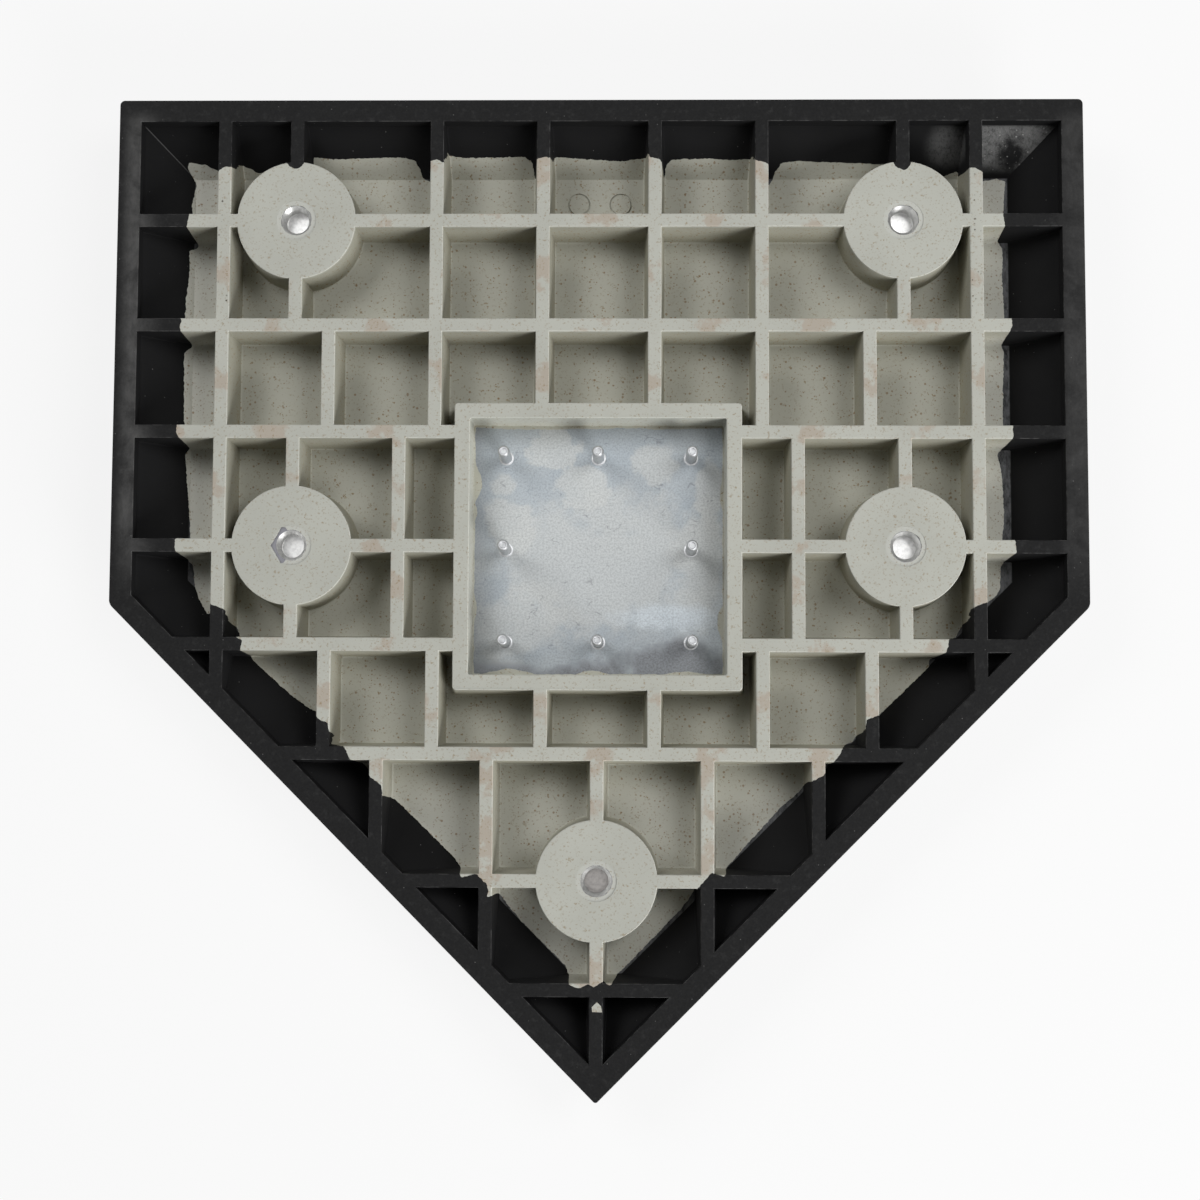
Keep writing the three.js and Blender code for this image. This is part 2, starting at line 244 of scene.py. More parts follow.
# Stains lie halfway along the ribs: their spacing, and the middle of the first rib each way
STAIN_PITCH = 54.8 * MM
STAIN_X = 1.3 * MM
STAIN_Y = FRONT_Y - 90.2 * MM

# Where masks on the white rubber begin and end: from the plate's middle, from an insert's axis,
# from the centre line, and towards the point
RECESS_FADE = (66 * MM, 69 * MM)
COLLAR_FADE = (73 * MM, 77 * MM)
BOSS_FADE = (30 * MM, 36 * MM)
RING_FADE = (10.4 * MM, 11 * MM)
RUBBED_FADE = (10.8 * MM, 9.8 * MM)
SIDE_FADE = (193 * MM, 197 * MM)
POINT_FADE = (-70 * MM, -130 * MM)

# Tints of the white rubber: painted warm shade low down, painted shade on walls and a painted highlight
# along rounded edges
LOW_SHADE = (1.0, 0.985, 0.95)
WALL_SHADE = (0.74, 0.72, 0.67)
EDGE_HIGHLIGHT = (1.0, 1.0, 0.98)

# Dusty corner of the black rubber: a spot rubbed clean and a patch of haze, by their distances
# from the right and the front edge
RUBBED_SPOT = Vector((33 * MM, 23 * MM))
HAZE_SPOT = Vector((66 * MM, 20 * MM))

# Share of a dot's radius over which its edge fades
DOT_SOFTNESS = 0.4

# Stage: half the floor's side, the lamps' distance, side and degrees round from +X and down from
# overhead, and the camera's place, turn in degrees and sensor in millimetres
FLOOR_REACH = 20
LAMP_DISTANCE = 2.2
LAMP_SIDE = 1.0
LAMPS = {"right": (27, 36), "left": (142, 45), "low": (310, 67)}
CAMERA_PLACE = (18.3 * MM, -76.54 * MM, 1002.39 * MM)
CAMERA_TURN = (4.286, 1.006, 0.154)
SENSOR_WIDTH = 36


def length(name, description, millimetres):
    """Property for one length, written in millimetres."""
    return FloatProperty(
        name=name, description=description, default=millimetres * MM, min=0, precision=5, unit="LENGTH"
    )


def colour(name, description, red, green, blue):
    """Property for one linear colour."""
    return FloatVectorProperty(
        name=name, description=description, default=(red, green, blue), min=0, max=1, subtype="COLOR"
    )


def share(name, description, value):
    """Property for a number from 0 to 1."""
    return FloatProperty(name=name, description=description, default=value, min=0, max=1, subtype="FACTOR")


def power(name, description, watts):
    """Property for a lamp's power."""
    return FloatProperty(name=name, description=description, default=watts, min=0, unit="POWER")


class HomePlateRubber(bpy.types.PropertyGroup):
    """Sizes of the rubber moulding that the frame doesn't give."""

    border_run: length("Border run", "Reach of the bevelled border past the playing face", 31.75)
    edge_land: length("Edge land", "Height of the upright outer edge", 6)
    rim_width: length("Rim width", "Width of the flat rim round the underside", 11.2)
    rim_drop: length("Rim drop", "Height of the upright wall inside the rim", 8)
    floor_inset: length("Floor inset", "Where the inner slope meets the floor, from the outer edge", 34.5)
    front_corner: length("Front corner", "Radius of the two front corners", 2.5)
    shoulder: length("Shoulder", "Radius of the two side corners", 5)
    point: length("Point", "Radius of the point", 1.5)
    rib_top: length("Rib top", "Width of a rib along its top", 6.7)
    rib_draft: length("Rib draft", "How much each side of a rib widens towards the floor", 1.8)
    second_row: length("Second row", "Second rib row, from the front edge", 117.4)
    third_row: length("Third row", "Third rib row, from the front edge", 172.4)
    fifth_row: length("Fifth row", "Fifth rib row, from the front edge", 280.8)
    sixth_row: length("Sixth row", "Sixth rib row, from the front edge", 335.7)
    last_row: length("Last row", "Last rib row, from the front edge", 452.8)
    centre_bay: length("Centre bay", "Distance between the two middle columns", 57.3)
    bay: length("Bay", "Distance between the other columns", 54.7)
    collar_column: length("Collar column", "Column beside the collar, from the centre line", 101.4)
    point_bay: length("Point bay", "Distance between columns near the point", 55.5)
    boss: length("Boss", "Diameter of a round boss", 60.8)
    boss_draft: length("Boss draft", "How much a boss's radius grows towards the floor", 1.2)
    recess: length("Recess", "Side of the square recess at the rib tops", 130.6)
    lip: length("Lip", "Side of the square opening on the steel plate", 129.2)
    recess_corner: length("Recess corner", "Radius of the recess's corners", 1)
    collar: length("Collar", "Outside of the square collar at the rib tops", 146)
    collar_corner: length("Collar corner", "Radius of the collar's corners", 1.8)
    skin_opening: length("Skin opening", "Diameter of the hole in the rubber over an insert", 15.8)
    insert_ring: length("Insert ring", "Diameter of the shallow ring round an insert", 20.5)
    mould_ring: length("Mould ring", "Diameter of the two plain rings on the floor", 12)
    mould_ring_place: length("Mould ring place", "Distance of the rings from the centre line", 11)
    mould_ring_inset: length("Mould ring inset", "Distance of the rings from the front edge", 48)
    foot_fillet: length("Foot fillet", "Radius where a rib meets the floor", 1)
    mouth_round: length("Mouth round", "Radius along the top edges", 0.5)


class HomePlateColours(bpy.types.PropertyGroup):
    """Colours of the finishes."""

    white: colour("White rubber", "Off-white rubber", 0.497, 0.502, 0.449)
    speck: colour("Speck", "Brown specks in the white rubber", 0.25, 0.165, 0.065)
    rust: colour("Rust", "Rust-brown dots on the floor of the white rubber", 0.23, 0.13, 0.045)
    # Painted light: paler floor beside the border and towards the point
    clean: colour("Painted light floor", "Paler floor of the white rubber beside the border", 0.6, 0.597, 0.535)
    rubbed: colour("Rubbed rubber", "Paler ring round an insert", 0.62, 0.63, 0.6)
    pinhole: colour("Pinhole", "Pinholes in the outer rib columns", 0.03, 0.02, 0.012)
    stain: colour("Stain", "Pinkish stains on the rib tops", 0.43, 0.36, 0.29)
    black: colour("Black rubber", "Black rubber", 0.0106, 0.0106, 0.011)
    # Dust, also used for painted highlights along rounded edges and the front left mitre
    dust_and_highlight: colour("Dust", "Dust on the black rubber", 0.17, 0.17, 0.168)
    fleck: colour("Fleck", "Pale flecks on the black rubber", 0.3, 0.3, 0.29)
    # Painted sheen: bluish reflection on the flat black floor
    painted_floor_sheen: colour("Floor sheen", "Painted bluish sheen on the floor of the black rubber", 0.15, 0.153, 0.161)
    wear: colour("Wear", "Worn rim of the black rubber", 0.125, 0.124, 0.122)
    zinc_pale: colour("Pale zinc", "Pale clouds on the galvanised plate", 0.56, 0.575, 0.565)
    zinc_blue: colour("Blue zinc", "Blue-grey clouds on the galvanised plate", 0.396, 0.442, 0.48)
    zinc_sheen: colour("Zinc sheen", "Brighter streak across the plate", 0.61, 0.665, 0.705)
    zinc_dark: colour("Dark zinc", "Dark band along the back of the plate", 0.155, 0.157, 0.17)
    steel: colour("Stud steel", "Bright studs", 0.54, 0.55, 0.56)
    insert: colour("Insert steel", "Threaded inserts", 0.66, 0.66, 0.65)
    darkening: colour("Insert grime", "Dull top of an insert under the rubber skin", 0.24, 0.24, 0.26)
    disc: colour("Insert floor", "Bright floor of an insert", 0.79, 0.79, 0.78)
    dull_disc: colour("Dull insert floor", "Darker floor of the point's insert", 0.45, 0.43, 0.415)


class HomePlateStage(bpy.types.PropertyGroup):
    """Light, floor and camera."""

    floor: colour("Floor", "Pale floor", 0.86, 0.86, 0.86)
    background: share("Background", "Brightness of the floor seen by the camera", 0.985)
    shadow: share("Shadow", "How much of the floor's shading the camera sees", 0.14)
    dome: share("Dome", "Strength of the even light from all round", 0.02)
    reflection: share("Reflection", "Brightness of the surroundings in shiny surfaces", 0.8)
    right: power("Right lamp", "Power of the soft light from the front right, in watts", 17.5)
    left: power("Left lamp", "Power of the soft light from the front left, in watts", 18.5)
    low: power("Low lamp", "Power of the low soft light from the back right, in watts", 43)
    lens: FloatProperty(name="Lens", description="Focal length", default=57.52, min=1, unit="CAMERA")


# Mesh helpers


def new_piece(name, bm):
    """Object at the origin with the bmesh's shape."""
    mesh = bpy.data.meshes.new(name)
    bm.to_mesh(mesh)
    bm.free()
    made = bpy.data.objects.new(name, mesh)
    bpy.context.scene.collection.objects.link(made)
    return made


def bevelled(bm, edges, radius, segments):
    """Rounds edges of the bmesh."""
    bmesh.ops.bevel(
        bm,
        geom=edges,
        offset=radius,
        offset_type="OFFSET",
        segments=segments,
        profile=0.5,
        affect="EDGES",
        material=-1,
        clamp_overlap=True,
    )


def cut_across(bm, place, normal):
    """Adds edges where a plane crosses the bmesh."""
    everything = bm.verts[:] + bm.edges[:] + bm.faces[:]
    bmesh.ops.bisect_plane(bm, geom=everything, plane_co=place, plane_no=normal, dist=CUT_SNAP)


def carved(body, *steps):
    """The body after joining, cutting or keeping what it shares with other objects, which are used up."""
    for operation, other in steps:
        modifier = body.modifiers.new(operation, "BOOLEAN")
        modifier.operation = operation
        modifier.solver = "MANIFOLD"
        modifier.object = other
    depsgraph = bpy.context.evaluated_depsgraph_get()
    mesh = bpy.data.meshes.new_from_object(body.evaluated_get(depsgraph))
    body.modifiers.clear()
    body.data = mesh
    for _, other in steps:
        bpy.data.objects.remove(other)
    if not mesh.polygons:
        raise RuntimeError(f"nothing is left of {body.name}")
    return body


def upright_edges(bm):
    """Edges of a bmesh that rise."""
    return [e for e in bm.edges if abs(e.verts[0].co.z - e.verts[1].co.z) > TOUCH]


def level_edges(bm):
    """Sharp edges of a bmesh that lie level."""
    return [
        e
        for e in bm.edges
        if e.calc_face_angle(0) > SHARP_ANGLE and abs(e.verts[0].co.z - e.verts[1].co.z) < WELD
    ]


def square_block(centre, low_side, high_side, low, high, radius):
    """Upright square block with rounded corners, whose sides may lean."""
    bm = bmesh.new()
    for vert in bmesh.ops.create_cube(bm, size=1)["verts"]:
        side, z = (high_side, high) if vert.co.z > 0 else (low_side, low)
        vert.co = (centre.x + side * vert.co.x, centre.y + side * vert.co.y, z)
    bevelled(bm, upright_edges(bm), radius, CORNER_SEGMENTS)
    return bm


def add_drum(bm, centre, diameter, low, high, sides, turn=0.0, draft=0.0):
    """Adds an upright drum, or a hexagonal bar where it has six sides. Draft widens its foot."""
    place = Matrix.Translation((centre.x, centre.y, (low + high) / 2)) @ Matrix.Rotation(turn, 4, "Z")
    bmesh.ops.create_cone(
        bm,
        cap_ends=True,
        segments=sides,
        radius1=diameter / 2 + draft,
        radius2=diameter / 2,
        depth=high - low,
        matrix=place,
    )


def extruded(points, low, high):
    """Upright solid on a closed outline."""
    bm = bmesh.new()
    face = bm.faces.new([bm.verts.new((p.x, p.y, low)) for p in points])
    raised = bmesh.ops.extrude_face_region(bm, geom=[face])["geom"]
    top = [part for part in raised if isinstance(part, bmesh.types.BMVert)]
    bmesh.ops.translate(bm, verts=top, vec=(0, 0, high - low))
    bmesh.ops.recalc_face_normals(bm, faces=bm.faces)
    return bm


def turned(profile, centre):
    """Solid of revolution about an upright axis from (radius, height) points that start and end on it."""
    bm = bmesh.new()
    verts = [bm.verts.new((radius, 0, z)) for radius, z in profile]
    edges = [bm.edges.new(pair) for pair in zip(verts, verts[1:])]
    bmesh.ops.spin(
        bm,
        geom=verts + edges,
        axis=(0, 0, 1),
        cent=(0, 0, 0),
        angle=math.tau,
        steps=ROUND_SIDES,
        use_merge=True,
    )
    bmesh.ops.remove_doubles(bm, verts=bm.verts, dist=WELD)
    bmesh.ops.dissolve_degenerate(bm, edges=bm.edges, dist=WELD)
    bmesh.ops.recalc_face_normals(bm, faces=bm.faces)
    bmesh.ops.translate(bm, verts=bm.verts, vec=(centre.x, centre.y, 0))
    return bm


def merged(shapes):
    """One bmesh of several, which are used up."""
    whole = bmesh.new()
    passing = bpy.data.meshes.new("passing")
    for bm in shapes:
        bm.to_mesh(passing)
        whole.from_mesh(passing)
        bm.free()
    bpy.data.meshes.remove(passing)
    return whole


def softened(piece, angle):
    """Smooth shading up to an angle, with large faces kept flat."""
    piece.data.polygons.foreach_set("use_smooth", [True] * len(piece.data.polygons))
    piece.data.set_sharp_from_angle(angle=angle)
    weighted = piece.modifiers.new("Flat faces", "WEIGHTED_NORMAL")
    weighted.keep_sharp = True
    return piece


def ragged(point, normal, layers):
    """A point moved along a normal by layers of noise, each given as reach and frequency."""
    reach = sum(size * noise.noise(Vector((point.x, point.y, 0)) * frequency) for size, frequency in layers)
    return point + normal * reach


def resampled(points, step):
    """Points at even steps along a closed line."""
    made = []
    for start, end in zip(points, points[1:] + points[:1]):
        count = max(1, round((end - start).length / step))
        made += [start.lerp(end, i / count) for i in range(count)]
    return made


def eased(points, rounds):
    """A closed line with its corners eased."""
    for _ in range(rounds):
        points = [
            (points[i - 1] + 2 * points[i] + points[(i + 1) % len(points)]) / 4 for i in range(len(points))
        ]
    return points


def roughened(points, layers):
    """A closed line, listed either way round, with ragged noise across it."""
    made = []
    for i, point in enumerate(points):
        along = (points[(i + 1) % len(points)] - points[i - 1]).normalized()
        made.append(ragged(point, Vector((-along.y, along.x)), layers))
    return made


# Rubber moulding


def middle_of(node):
    """Middle of a node's box."""
    low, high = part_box(node)
    return (low + high) / 2


def shoulder_y(sizes):
    """Y of the two side corners of the outer edge."""
    return FRONT_Y - (HALF_WIDTH - sizes.border_run) - sizes.border_run * SQRT2


def corners(sizes, inset):
    """Corners of the five-sided outline, moved in from the outer edge."""
    x = HALF_WIDTH - inset
    front = FRONT_Y - inset
    shoulder = shoulder_y(sizes) + inset * (SQRT2 - 1)
    point = shoulder_y(sizes) - HALF_WIDTH + inset * SQRT2
    places = ((x, front), (-x, front), (-x, shoulder), (0, point), (x, shoulder))
    return [Vector(place) for place in places]


def five_sided(sizes, levels, round_corners=True):
    """Closed solid through the outline at rising heights, each with its inset."""
    bm = bmesh.new()
    rings = [[bm.verts.new((p.x, p.y, z)) for p in corners(sizes, inset)] for z, inset in levels]
    for ring in rings:
        for i in range(len(ring)):
            bm.edges.new((ring[i - 1], ring[i]))
    for low, high in zip(rings, rings[1:]):
        edges = [bm.edges.get((ring[i - 1], ring[i])) for ring in (low, high) for i in range(len(ring))]
        bmesh.ops.bridge_loops(bm, edges=edges)
    for ring in (rings[0], rings[-1]):
        bmesh.ops.contextual_create(bm, geom=ring)
    bmesh.ops.recalc_face_normals(bm, faces=bm.faces)
    if not round_corners:
        return bm
    square, blunt = math.tan(math.pi / 4), math.tan(math.pi / 8)
    setbacks = (
        sizes.front_corner * square,
        sizes.front_corner * square,
        sizes.shoulder * blunt,
        sizes.point * square,
        sizes.shoulder * blunt,
    )
    for i, setback in enumerate(setbacks):
        edges = [bm.edges.get((low[i], high[i])) for low, high in zip(rings, rings[1:])]
        bevelled(bm, edges, setback, CORNER_SEGMENTS)
    return bm


def rib_lines(sizes):
    """Lines from front to back, which are the front edge, the rib rows and the point, and rib columns.

    The columns are listed for each bay between the lines, on the right of the centre line.
    """
    boss = middle_of("insert_front_right")
    lines = [
        FRONT_Y,
        boss.y,
        FRONT_Y - sizes.second_row,
        FRONT_Y - sizes.third_row,
        PLATE_MIDDLE.y,
        FRONT_Y - sizes.fifth_row,
        FRONT_Y - sizes.sixth_row,
        middle_of("insert_point").y,
        FRONT_Y - sizes.last_row,
        corners(sizes, 0)[3].y,
    ]
    first = sizes.centre_bay / 2
    second = first + sizes.bay
    third = second + sizes.bay
    outer = third + sizes.bay
    beside_boss = [first, second, boss.x, outer]
    beside_collar = [sizes.collar_column, boss.x, outer]
    even = [first, second, third, outer]
    near_point = [0, sizes.point_bay, 2 * sizes.point_bay]
    columns = [beside_boss, beside_boss, even, beside_collar, beside_collar, even]
    return lines, columns + [near_point, near_point[:2], near_point[:1]]


def cells(sizes):
    """Drafted blocks that stand for the spaces between ribs."""
    lines, columns = rib_lines(sizes)
    low, high = SLAB - OVERCUT, HEIGHT + OVERCUT
    bm = bmesh.new()
    for front, back, right_columns in zip(lines, lines[1:], columns):
        marks = sorted({-HALF_WIDTH, HALF_WIDTH, *right_columns, *(-x for x in right_columns)})
        for left, right in zip(marks, marks[1:]):
            for vert in bmesh.ops.create_cube(bm, size=1)["verts"]:
                z = high if vert.co.z > 0 else low
                half_rib = sizes.rib_top / 2 + sizes.rib_draft * (HEIGHT - z) / (HEIGHT - SLAB)
                x = right - half_rib if vert.co.x > 0 else left + half_rib
                y = front - half_rib if vert.co.y > 0 else back + half_rib
                vert.co = (x, y, z)
    return new_piece("cells", bm)


def bosses(sizes):
    """Round bosses, passing the floor and the rib tops."""
    bm = bmesh.new()
    low, high = SLAB - OVERCUT, HEIGHT + 2 * OVERCUT
    for place in INSERTS:
        middle = middle_of(f"insert_{place}")
        add_drum(bm, middle, sizes.boss, low, high, BOSS_SIDES, draft=sizes.boss_draft)
    return new_piece("bosses", bm)


def collar_block(sizes):
    """Square collar's outside, passing the floor and the rib tops."""
    lean = 2 * sizes.rib_draft / (HEIGHT - SLAB)
    low, high = SLAB - OVERCUT, HEIGHT + 2 * OVERCUT
    low_side = sizes.collar + lean * (HEIGHT - low)
    high_side = sizes.collar - lean * (high - HEIGHT)
    block = square_block(PLATE_MIDDLE, low_side, high_side, low, high, sizes.collar_corner)
    return new_piece("collar", block)


def islands(bm):
    """Faces of each separate solid in a bmesh."""
    left = set(bm.faces)
    while left:
        waiting = [left.pop()]
        found = list(waiting)
        while waiting:
            beside = {face for edge in waiting.pop().edges for face in edge.link_faces} & left
            left -= beside
            waiting += beside
            found += beside
        yield found


def crosses_itself(bm):
    """Whether a solid is open, or has faces that meet without sharing a corner."""
    if not all(edge.is_manifold and edge.is_contiguous for edge in bm.edges):
        return True
    bm.faces.ensure_lookup_table()
    tree = BVHTree.FromBMesh(bm, epsilon=0)
    return any(
        first < second and not set(bm.faces[first].verts) & set(bm.faces[second].verts)
        for first, second in tree.overlap(tree)
    )


def is_foot(edge):
    """Whether an edge of a pocket runs along the foot of a rib, a boss or the collar."""
    if edge.calc_face_angle(0) < SHARP_ANGLE or min(v.co.z for v in edge.verts) > HEIGHT:
        return False
    rise = abs(edge.verts[0].co.z - edge.verts[1].co.z)
    steep = [abs(face.normal.z) < STEEP for face in edge.link_faces]
    return rise < RISING * edge.calc_length() and any(steep) and not all(steep)


def filleted(bm, faces, radius):
    """Copy of one pocket with its foot rounded as far as it fits."""
    bm.faces.index_update()
    kept = {face.index for face in faces}
    for part in FILLET_SHARES:
        pocket = bm.copy()
        others = [face for face in pocket.faces if face.index not in kept]
        bmesh.ops.delete(pocket, geom=others, context="FACES")
        bevelled(pocket, [e for e in pocket.edges if is_foot(e)], radius * part, ROUND_SEGMENTS)
        if not crosses_itself(pocket):
            return pocket
        pocket.free()
    raise RuntimeError("a pocket of the moulding is too narrow for its fillet")


def flared(bm, top, radius):
    """Opens a cutter's mouth by a quarter round, so that the edge it leaves is rounded."""
    start = top - radius
    for step in range(ROUND_SEGMENTS + 1):
        z = start + radius * math.sin(math.pi / 2 * step / ROUND_SEGMENTS)
        cut_across(bm, (0, 0, z), (0, 0, 1))
    bm.normal_update()
    moves = []
    for vert in bm.verts:
        rise = min(1, (vert.co.z - start) / radius)
        walls = [f.normal.xy.normalized() for f in vert.link_faces if abs(f.normal.z) < WALL]
        if rise > 0 and walls:
            one = walls[0]
            other = min(walls, key=one.dot)
            reach = radius * (1 - math.sqrt(1 - rise * rise)) / (1 + one.dot(other))
            moves.append((vert, (one + other) * reach))
    for vert, move in moves:
        vert.co.xy += move
    return bm


def pockets(sizes):
    """All the spaces between ribs, with rounded feet and mouths."""
    levels = (
        (SLAB, sizes.floor_inset),
        (HEIGHT - sizes.rim_drop, sizes.rim_width),
        (HEIGHT + OVERCUT, sizes.rim_width),
    )
    hollow = new_piece("hollow", five_sided(sizes, levels, round_corners=False))
    solid = (("DIFFERENCE", bosses(sizes)), ("DIFFERENCE", collar_block(sizes)))
    plain = carved(cells(sizes), ("INTERSECT", hollow), *solid)
    bm = bmesh.new()
    bm.from_mesh(plain.data)
    bpy.data.objects.remove(plain)
    bmesh.ops.remove_doubles(bm, verts=bm.verts, dist=WELD)
    bmesh.ops.dissolve_limit(bm, angle_limit=FLAT_ANGLE, verts=bm.verts, edges=bm.edges)
    bmesh.ops.remove_doubles(bm, verts=bm.verts, dist=SHORT_EDGE)
    rounded = [filleted(bm, faces, sizes.foot_fillet) for faces in list(islands(bm))]
    bm.free()
    opened = [flared(pocket, HEIGHT + TOUCH, sizes.mouth_round) for pocket in rounded]
    return new_piece("pockets", merged(opened))


def recess(sizes):
    """Way in to the steel plate, from the collar's rounded mouth to just above the plate."""
    lean = (sizes.recess - sizes.lip) / (HEIGHT - PLATE_TOP)
    low, high = PLATE_TOP + sizes.mouth_round / 2, HEIGHT + OVERCUT
    low_side = sizes.lip + lean * (low - PLATE_TOP)
    high_side = sizes.lip + lean * (high - PLATE_TOP)
    bm = square_block(PLATE_MIDDLE, low_side, high_side, low, high, sizes.recess_corner)
    return new_piece("recess", flared(bm, HEIGHT + TOUCH, sizes.mouth_round))


def lip_outline(sizes):
    """Ragged edge of the rubber that overlaps the steel plate."""
    half = sizes.lip / 2
    ways = {
        "front": (Vector((0, half)), Vector((1, 0))),
        "right": (Vector((half, 0)), Vector((0, 1))),
        "back": (Vector((0, -half)), Vector((1, 0))),
        "left": (Vector((-half, 0)), Vector((0, 1))),
    }
    square = [Vector((-half, half)), Vector((half, half)), Vector((half, -half)), Vector((-half, -half))]
    made = []
    for point in eased(resampled(square, LIP_STEP), CORNER_SEGMENTS):
        moved = point * (1 - LIP_RAGGED[0][0] / half)
        for side, at, half_length, reach in LIP_LUMPS:
            foot, along = ways[side]
            offset = ((point - foot).dot(along) - at * MM) / (half_length * MM)
            if abs(offset) < 1 and (point - foot - along * (point - foot).dot(along)).length < TOUCH:
                moved -= foot.normalized() * reach * MM * (1 - offset * offset) ** LUMP_SHARPNESS
        made.append(moved + PLATE_MIDDLE.xy)
    return roughened(made, LIP_RAGGED)


def plate_seat(sizes):
    """Cutters that seat the steel plate and its studs, and open the ragged lip above it."""
    side = PLATE_HIGH.x - PLATE_LOW.x + 2 * FIT_GAP
    groove = square_block(PLATE_MIDDLE, side, side, SLAB, PLATE_TOP + TOUCH, sizes.recess_corner)
    heads = bmesh.new()
    for place in STUDS:
        low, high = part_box(f"stud_{place}")
        diameter = high.x - low.x + 2 * FIT_GAP
        add_drum(heads, (low + high) / 2, diameter, low.z - FIT_GAP, SLAB + TOUCH, ROUND_SIDES)
    lip = extruded(lip_outline(sizes), PLATE_TOP - OVERCUT, PLATE_TOP + OVERCUT)
    return [new_piece("groove", groove), new_piece("heads", heads), new_piece("lip", lip)]


def skin_hole(sizes, place):
    """Ragged hole in the rubber skin over one insert."""
    low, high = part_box(f"insert_{place}")
    centre = (low + high) / 2
    half_flats = (high.y - low.y) / 2
    points = []
    for i in range(2 * ROUND_SIDES):
        angle = math.tau * i / (2 * ROUND_SIDES)
        radius = sizes.skin_opening / 2
        if place == TORN_INSERT and TORN_FROM < angle < TORN_TO:
            from_flat = math.remainder(angle - HEX_TURN, 2 * HEX_TURN)
            radius = half_flats / math.cos(from_flat) - TORN_MARGIN
        outward = Vector((math.cos(angle), math.sin(angle)))
        points.append(ragged(centre.xy + outward * radius, outward, SKIN_RAGGED))
    return points


def insert_seats(sizes):
    """Cutters that seat the inserts, open the skin over them and sink the ring round each."""
    nuts, rings = bmesh.new(), bmesh.new()
    holes = []
    for place in INSERTS:
        low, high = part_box(f"insert_{place}")
        middle = (low + high) / 2
        across = high.x - low.x + 2 * FIT_GAP
        add_drum(nuts, middle, across, low.z - FIT_GAP, high.z + TOUCH, 6, HEX_TURN)
        holes.append(extruded(skin_hole(sizes, place), high.z - OVERCUT, HEIGHT + OVERCUT))
        add_drum(rings, middle, sizes.insert_ring, HEIGHT - INSERT_RING_DEPTH, HEIGHT + OVERCUT, ROUND_SIDES)
    return [new_piece("nuts", nuts), new_piece("holes", merged(holes)), new_piece("rings", rings)]


def mould_rings(sizes):
    """Ring-shaped cutters for the two plain rings that the mould leaves on the floor."""
    outer, inner = bmesh.new(), bmesh.new()
    low, high = SLAB - MOULD_RING_DEPTH, SLAB + OVERCUT
    inside = sizes.mould_ring - 2 * MOULD_RING_LINE
    for x in (-sizes.mould_ring_place, sizes.mould_ring_place):
        centre = Vector((x, FRONT_Y - sizes.mould_ring_inset))
        add_drum(outer, centre, sizes.mould_ring, low, high, ROUND_SIDES)
        add_drum(inner, centre, inside, low - OVERCUT, high + OVERCUT, ROUND_SIDES)
    return carved(new_piece("mould_rings", outer), ("DIFFERENCE", new_piece("inner", inner)))


def moulding(sizes):
    """The whole rubber moulding, before it is parted into black border and white core.

    The block is cut in strips first, so that no face has more holes than the solver can close.
    """
    bm = five_sided(sizes, ((0, sizes.border_run), (HEIGHT - sizes.edge_land, 0), (HEIGHT, 0)))
    bevelled(bm, level_edges(bm), sizes.mouth_round, ROUND_SEGMENTS)
    lines, _ = rib_lines(sizes)
    for y in [*lines[1:-1], *((front + back) / 2 for front, back in zip(lines, lines[1:]))]:
        cut_across(bm, (0, y, 0), (0, 1, 0))
    cutters = [pockets(sizes), recess(sizes), *plate_seat(sizes), *insert_seats(sizes), mould_rings(sizes)]
    return carved(new_piece("moulding", bm), *(("DIFFERENCE", cutter) for cutter in cutters))


def bond_line(sizes):
    """Closed line where black rubber meets white on the underside."""
    side_x, shoulder = HALF_WIDTH, shoulder_y(sizes)
    slant = 1 / SQRT2
    sides = (
        (BOND_FRONT, Vector((0, FRONT_Y)), Vector((1, 0)), Vector((0, -1))),
        (BOND_RIGHT, Vector((side_x, 0)), Vector((0, 1)), Vector((-1, 0))),
        (BOND_SLANT_RIGHT, Vector((side_x, shoulder)), Vector((-slant, -slant)), Vector((-slant, slant))),
        (BOND_SLANT_LEFT, Vector((-side_x, shoulder)), Vector((slant, -slant)), Vector((slant, slant))),
        (BOND_LEFT, Vector((-side_x, 0)), Vector((0, 1)), Vector((1, 0))),
    )
    points = [
        start + along * (distance * MM) + inward * (inset * MM)
        for pairs, start, along, inward in sides
        for distance, inset in pairs
    ]
    return roughened(eased(resampled(points, BOND_STEP), BOND_SMOOTHING), BOND_RAGGED)


def bond_cutter(sizes):
    """What the white rubber takes up: straight at the playing face, ragged at the underside."""
    straight = five_sided(sizes, ((-OVERCUT, sizes.border_run), (BOND_SPLIT_Z, sizes.border_run)))
    wavy = extruded(bond_line(sizes), BOND_SPLIT_Z - OVERCUT, HEIGHT + OVERCUT)
    chip = extruded([Vector(p) * MM for p in CHIP], HEIGHT - OVERCUT, HEIGHT + OVERCUT)
    return carved(
        new_piece("bond", straight), ("UNION", new_piece("wavy", wavy)), ("UNION", new_piece("chip", chip))
    )


def rubber_pieces(sizes):
    """White core and black border."""
    whole = moulding(sizes)
    border = whole.copy()
    border.data = whole.data.copy()
    bpy.context.scene.collection.objects.link(border)
    carved(whole, ("INTERSECT", bond_cutter(sizes)))
    carved(border, ("DIFFERENCE", bond_cutter(sizes)))
    whole.name = "rubber_core"
    border.name = "rubber_border"
    return softened(whole, SOFT_ANGLE), softened(border, SOFT_ANGLE)


# Steel


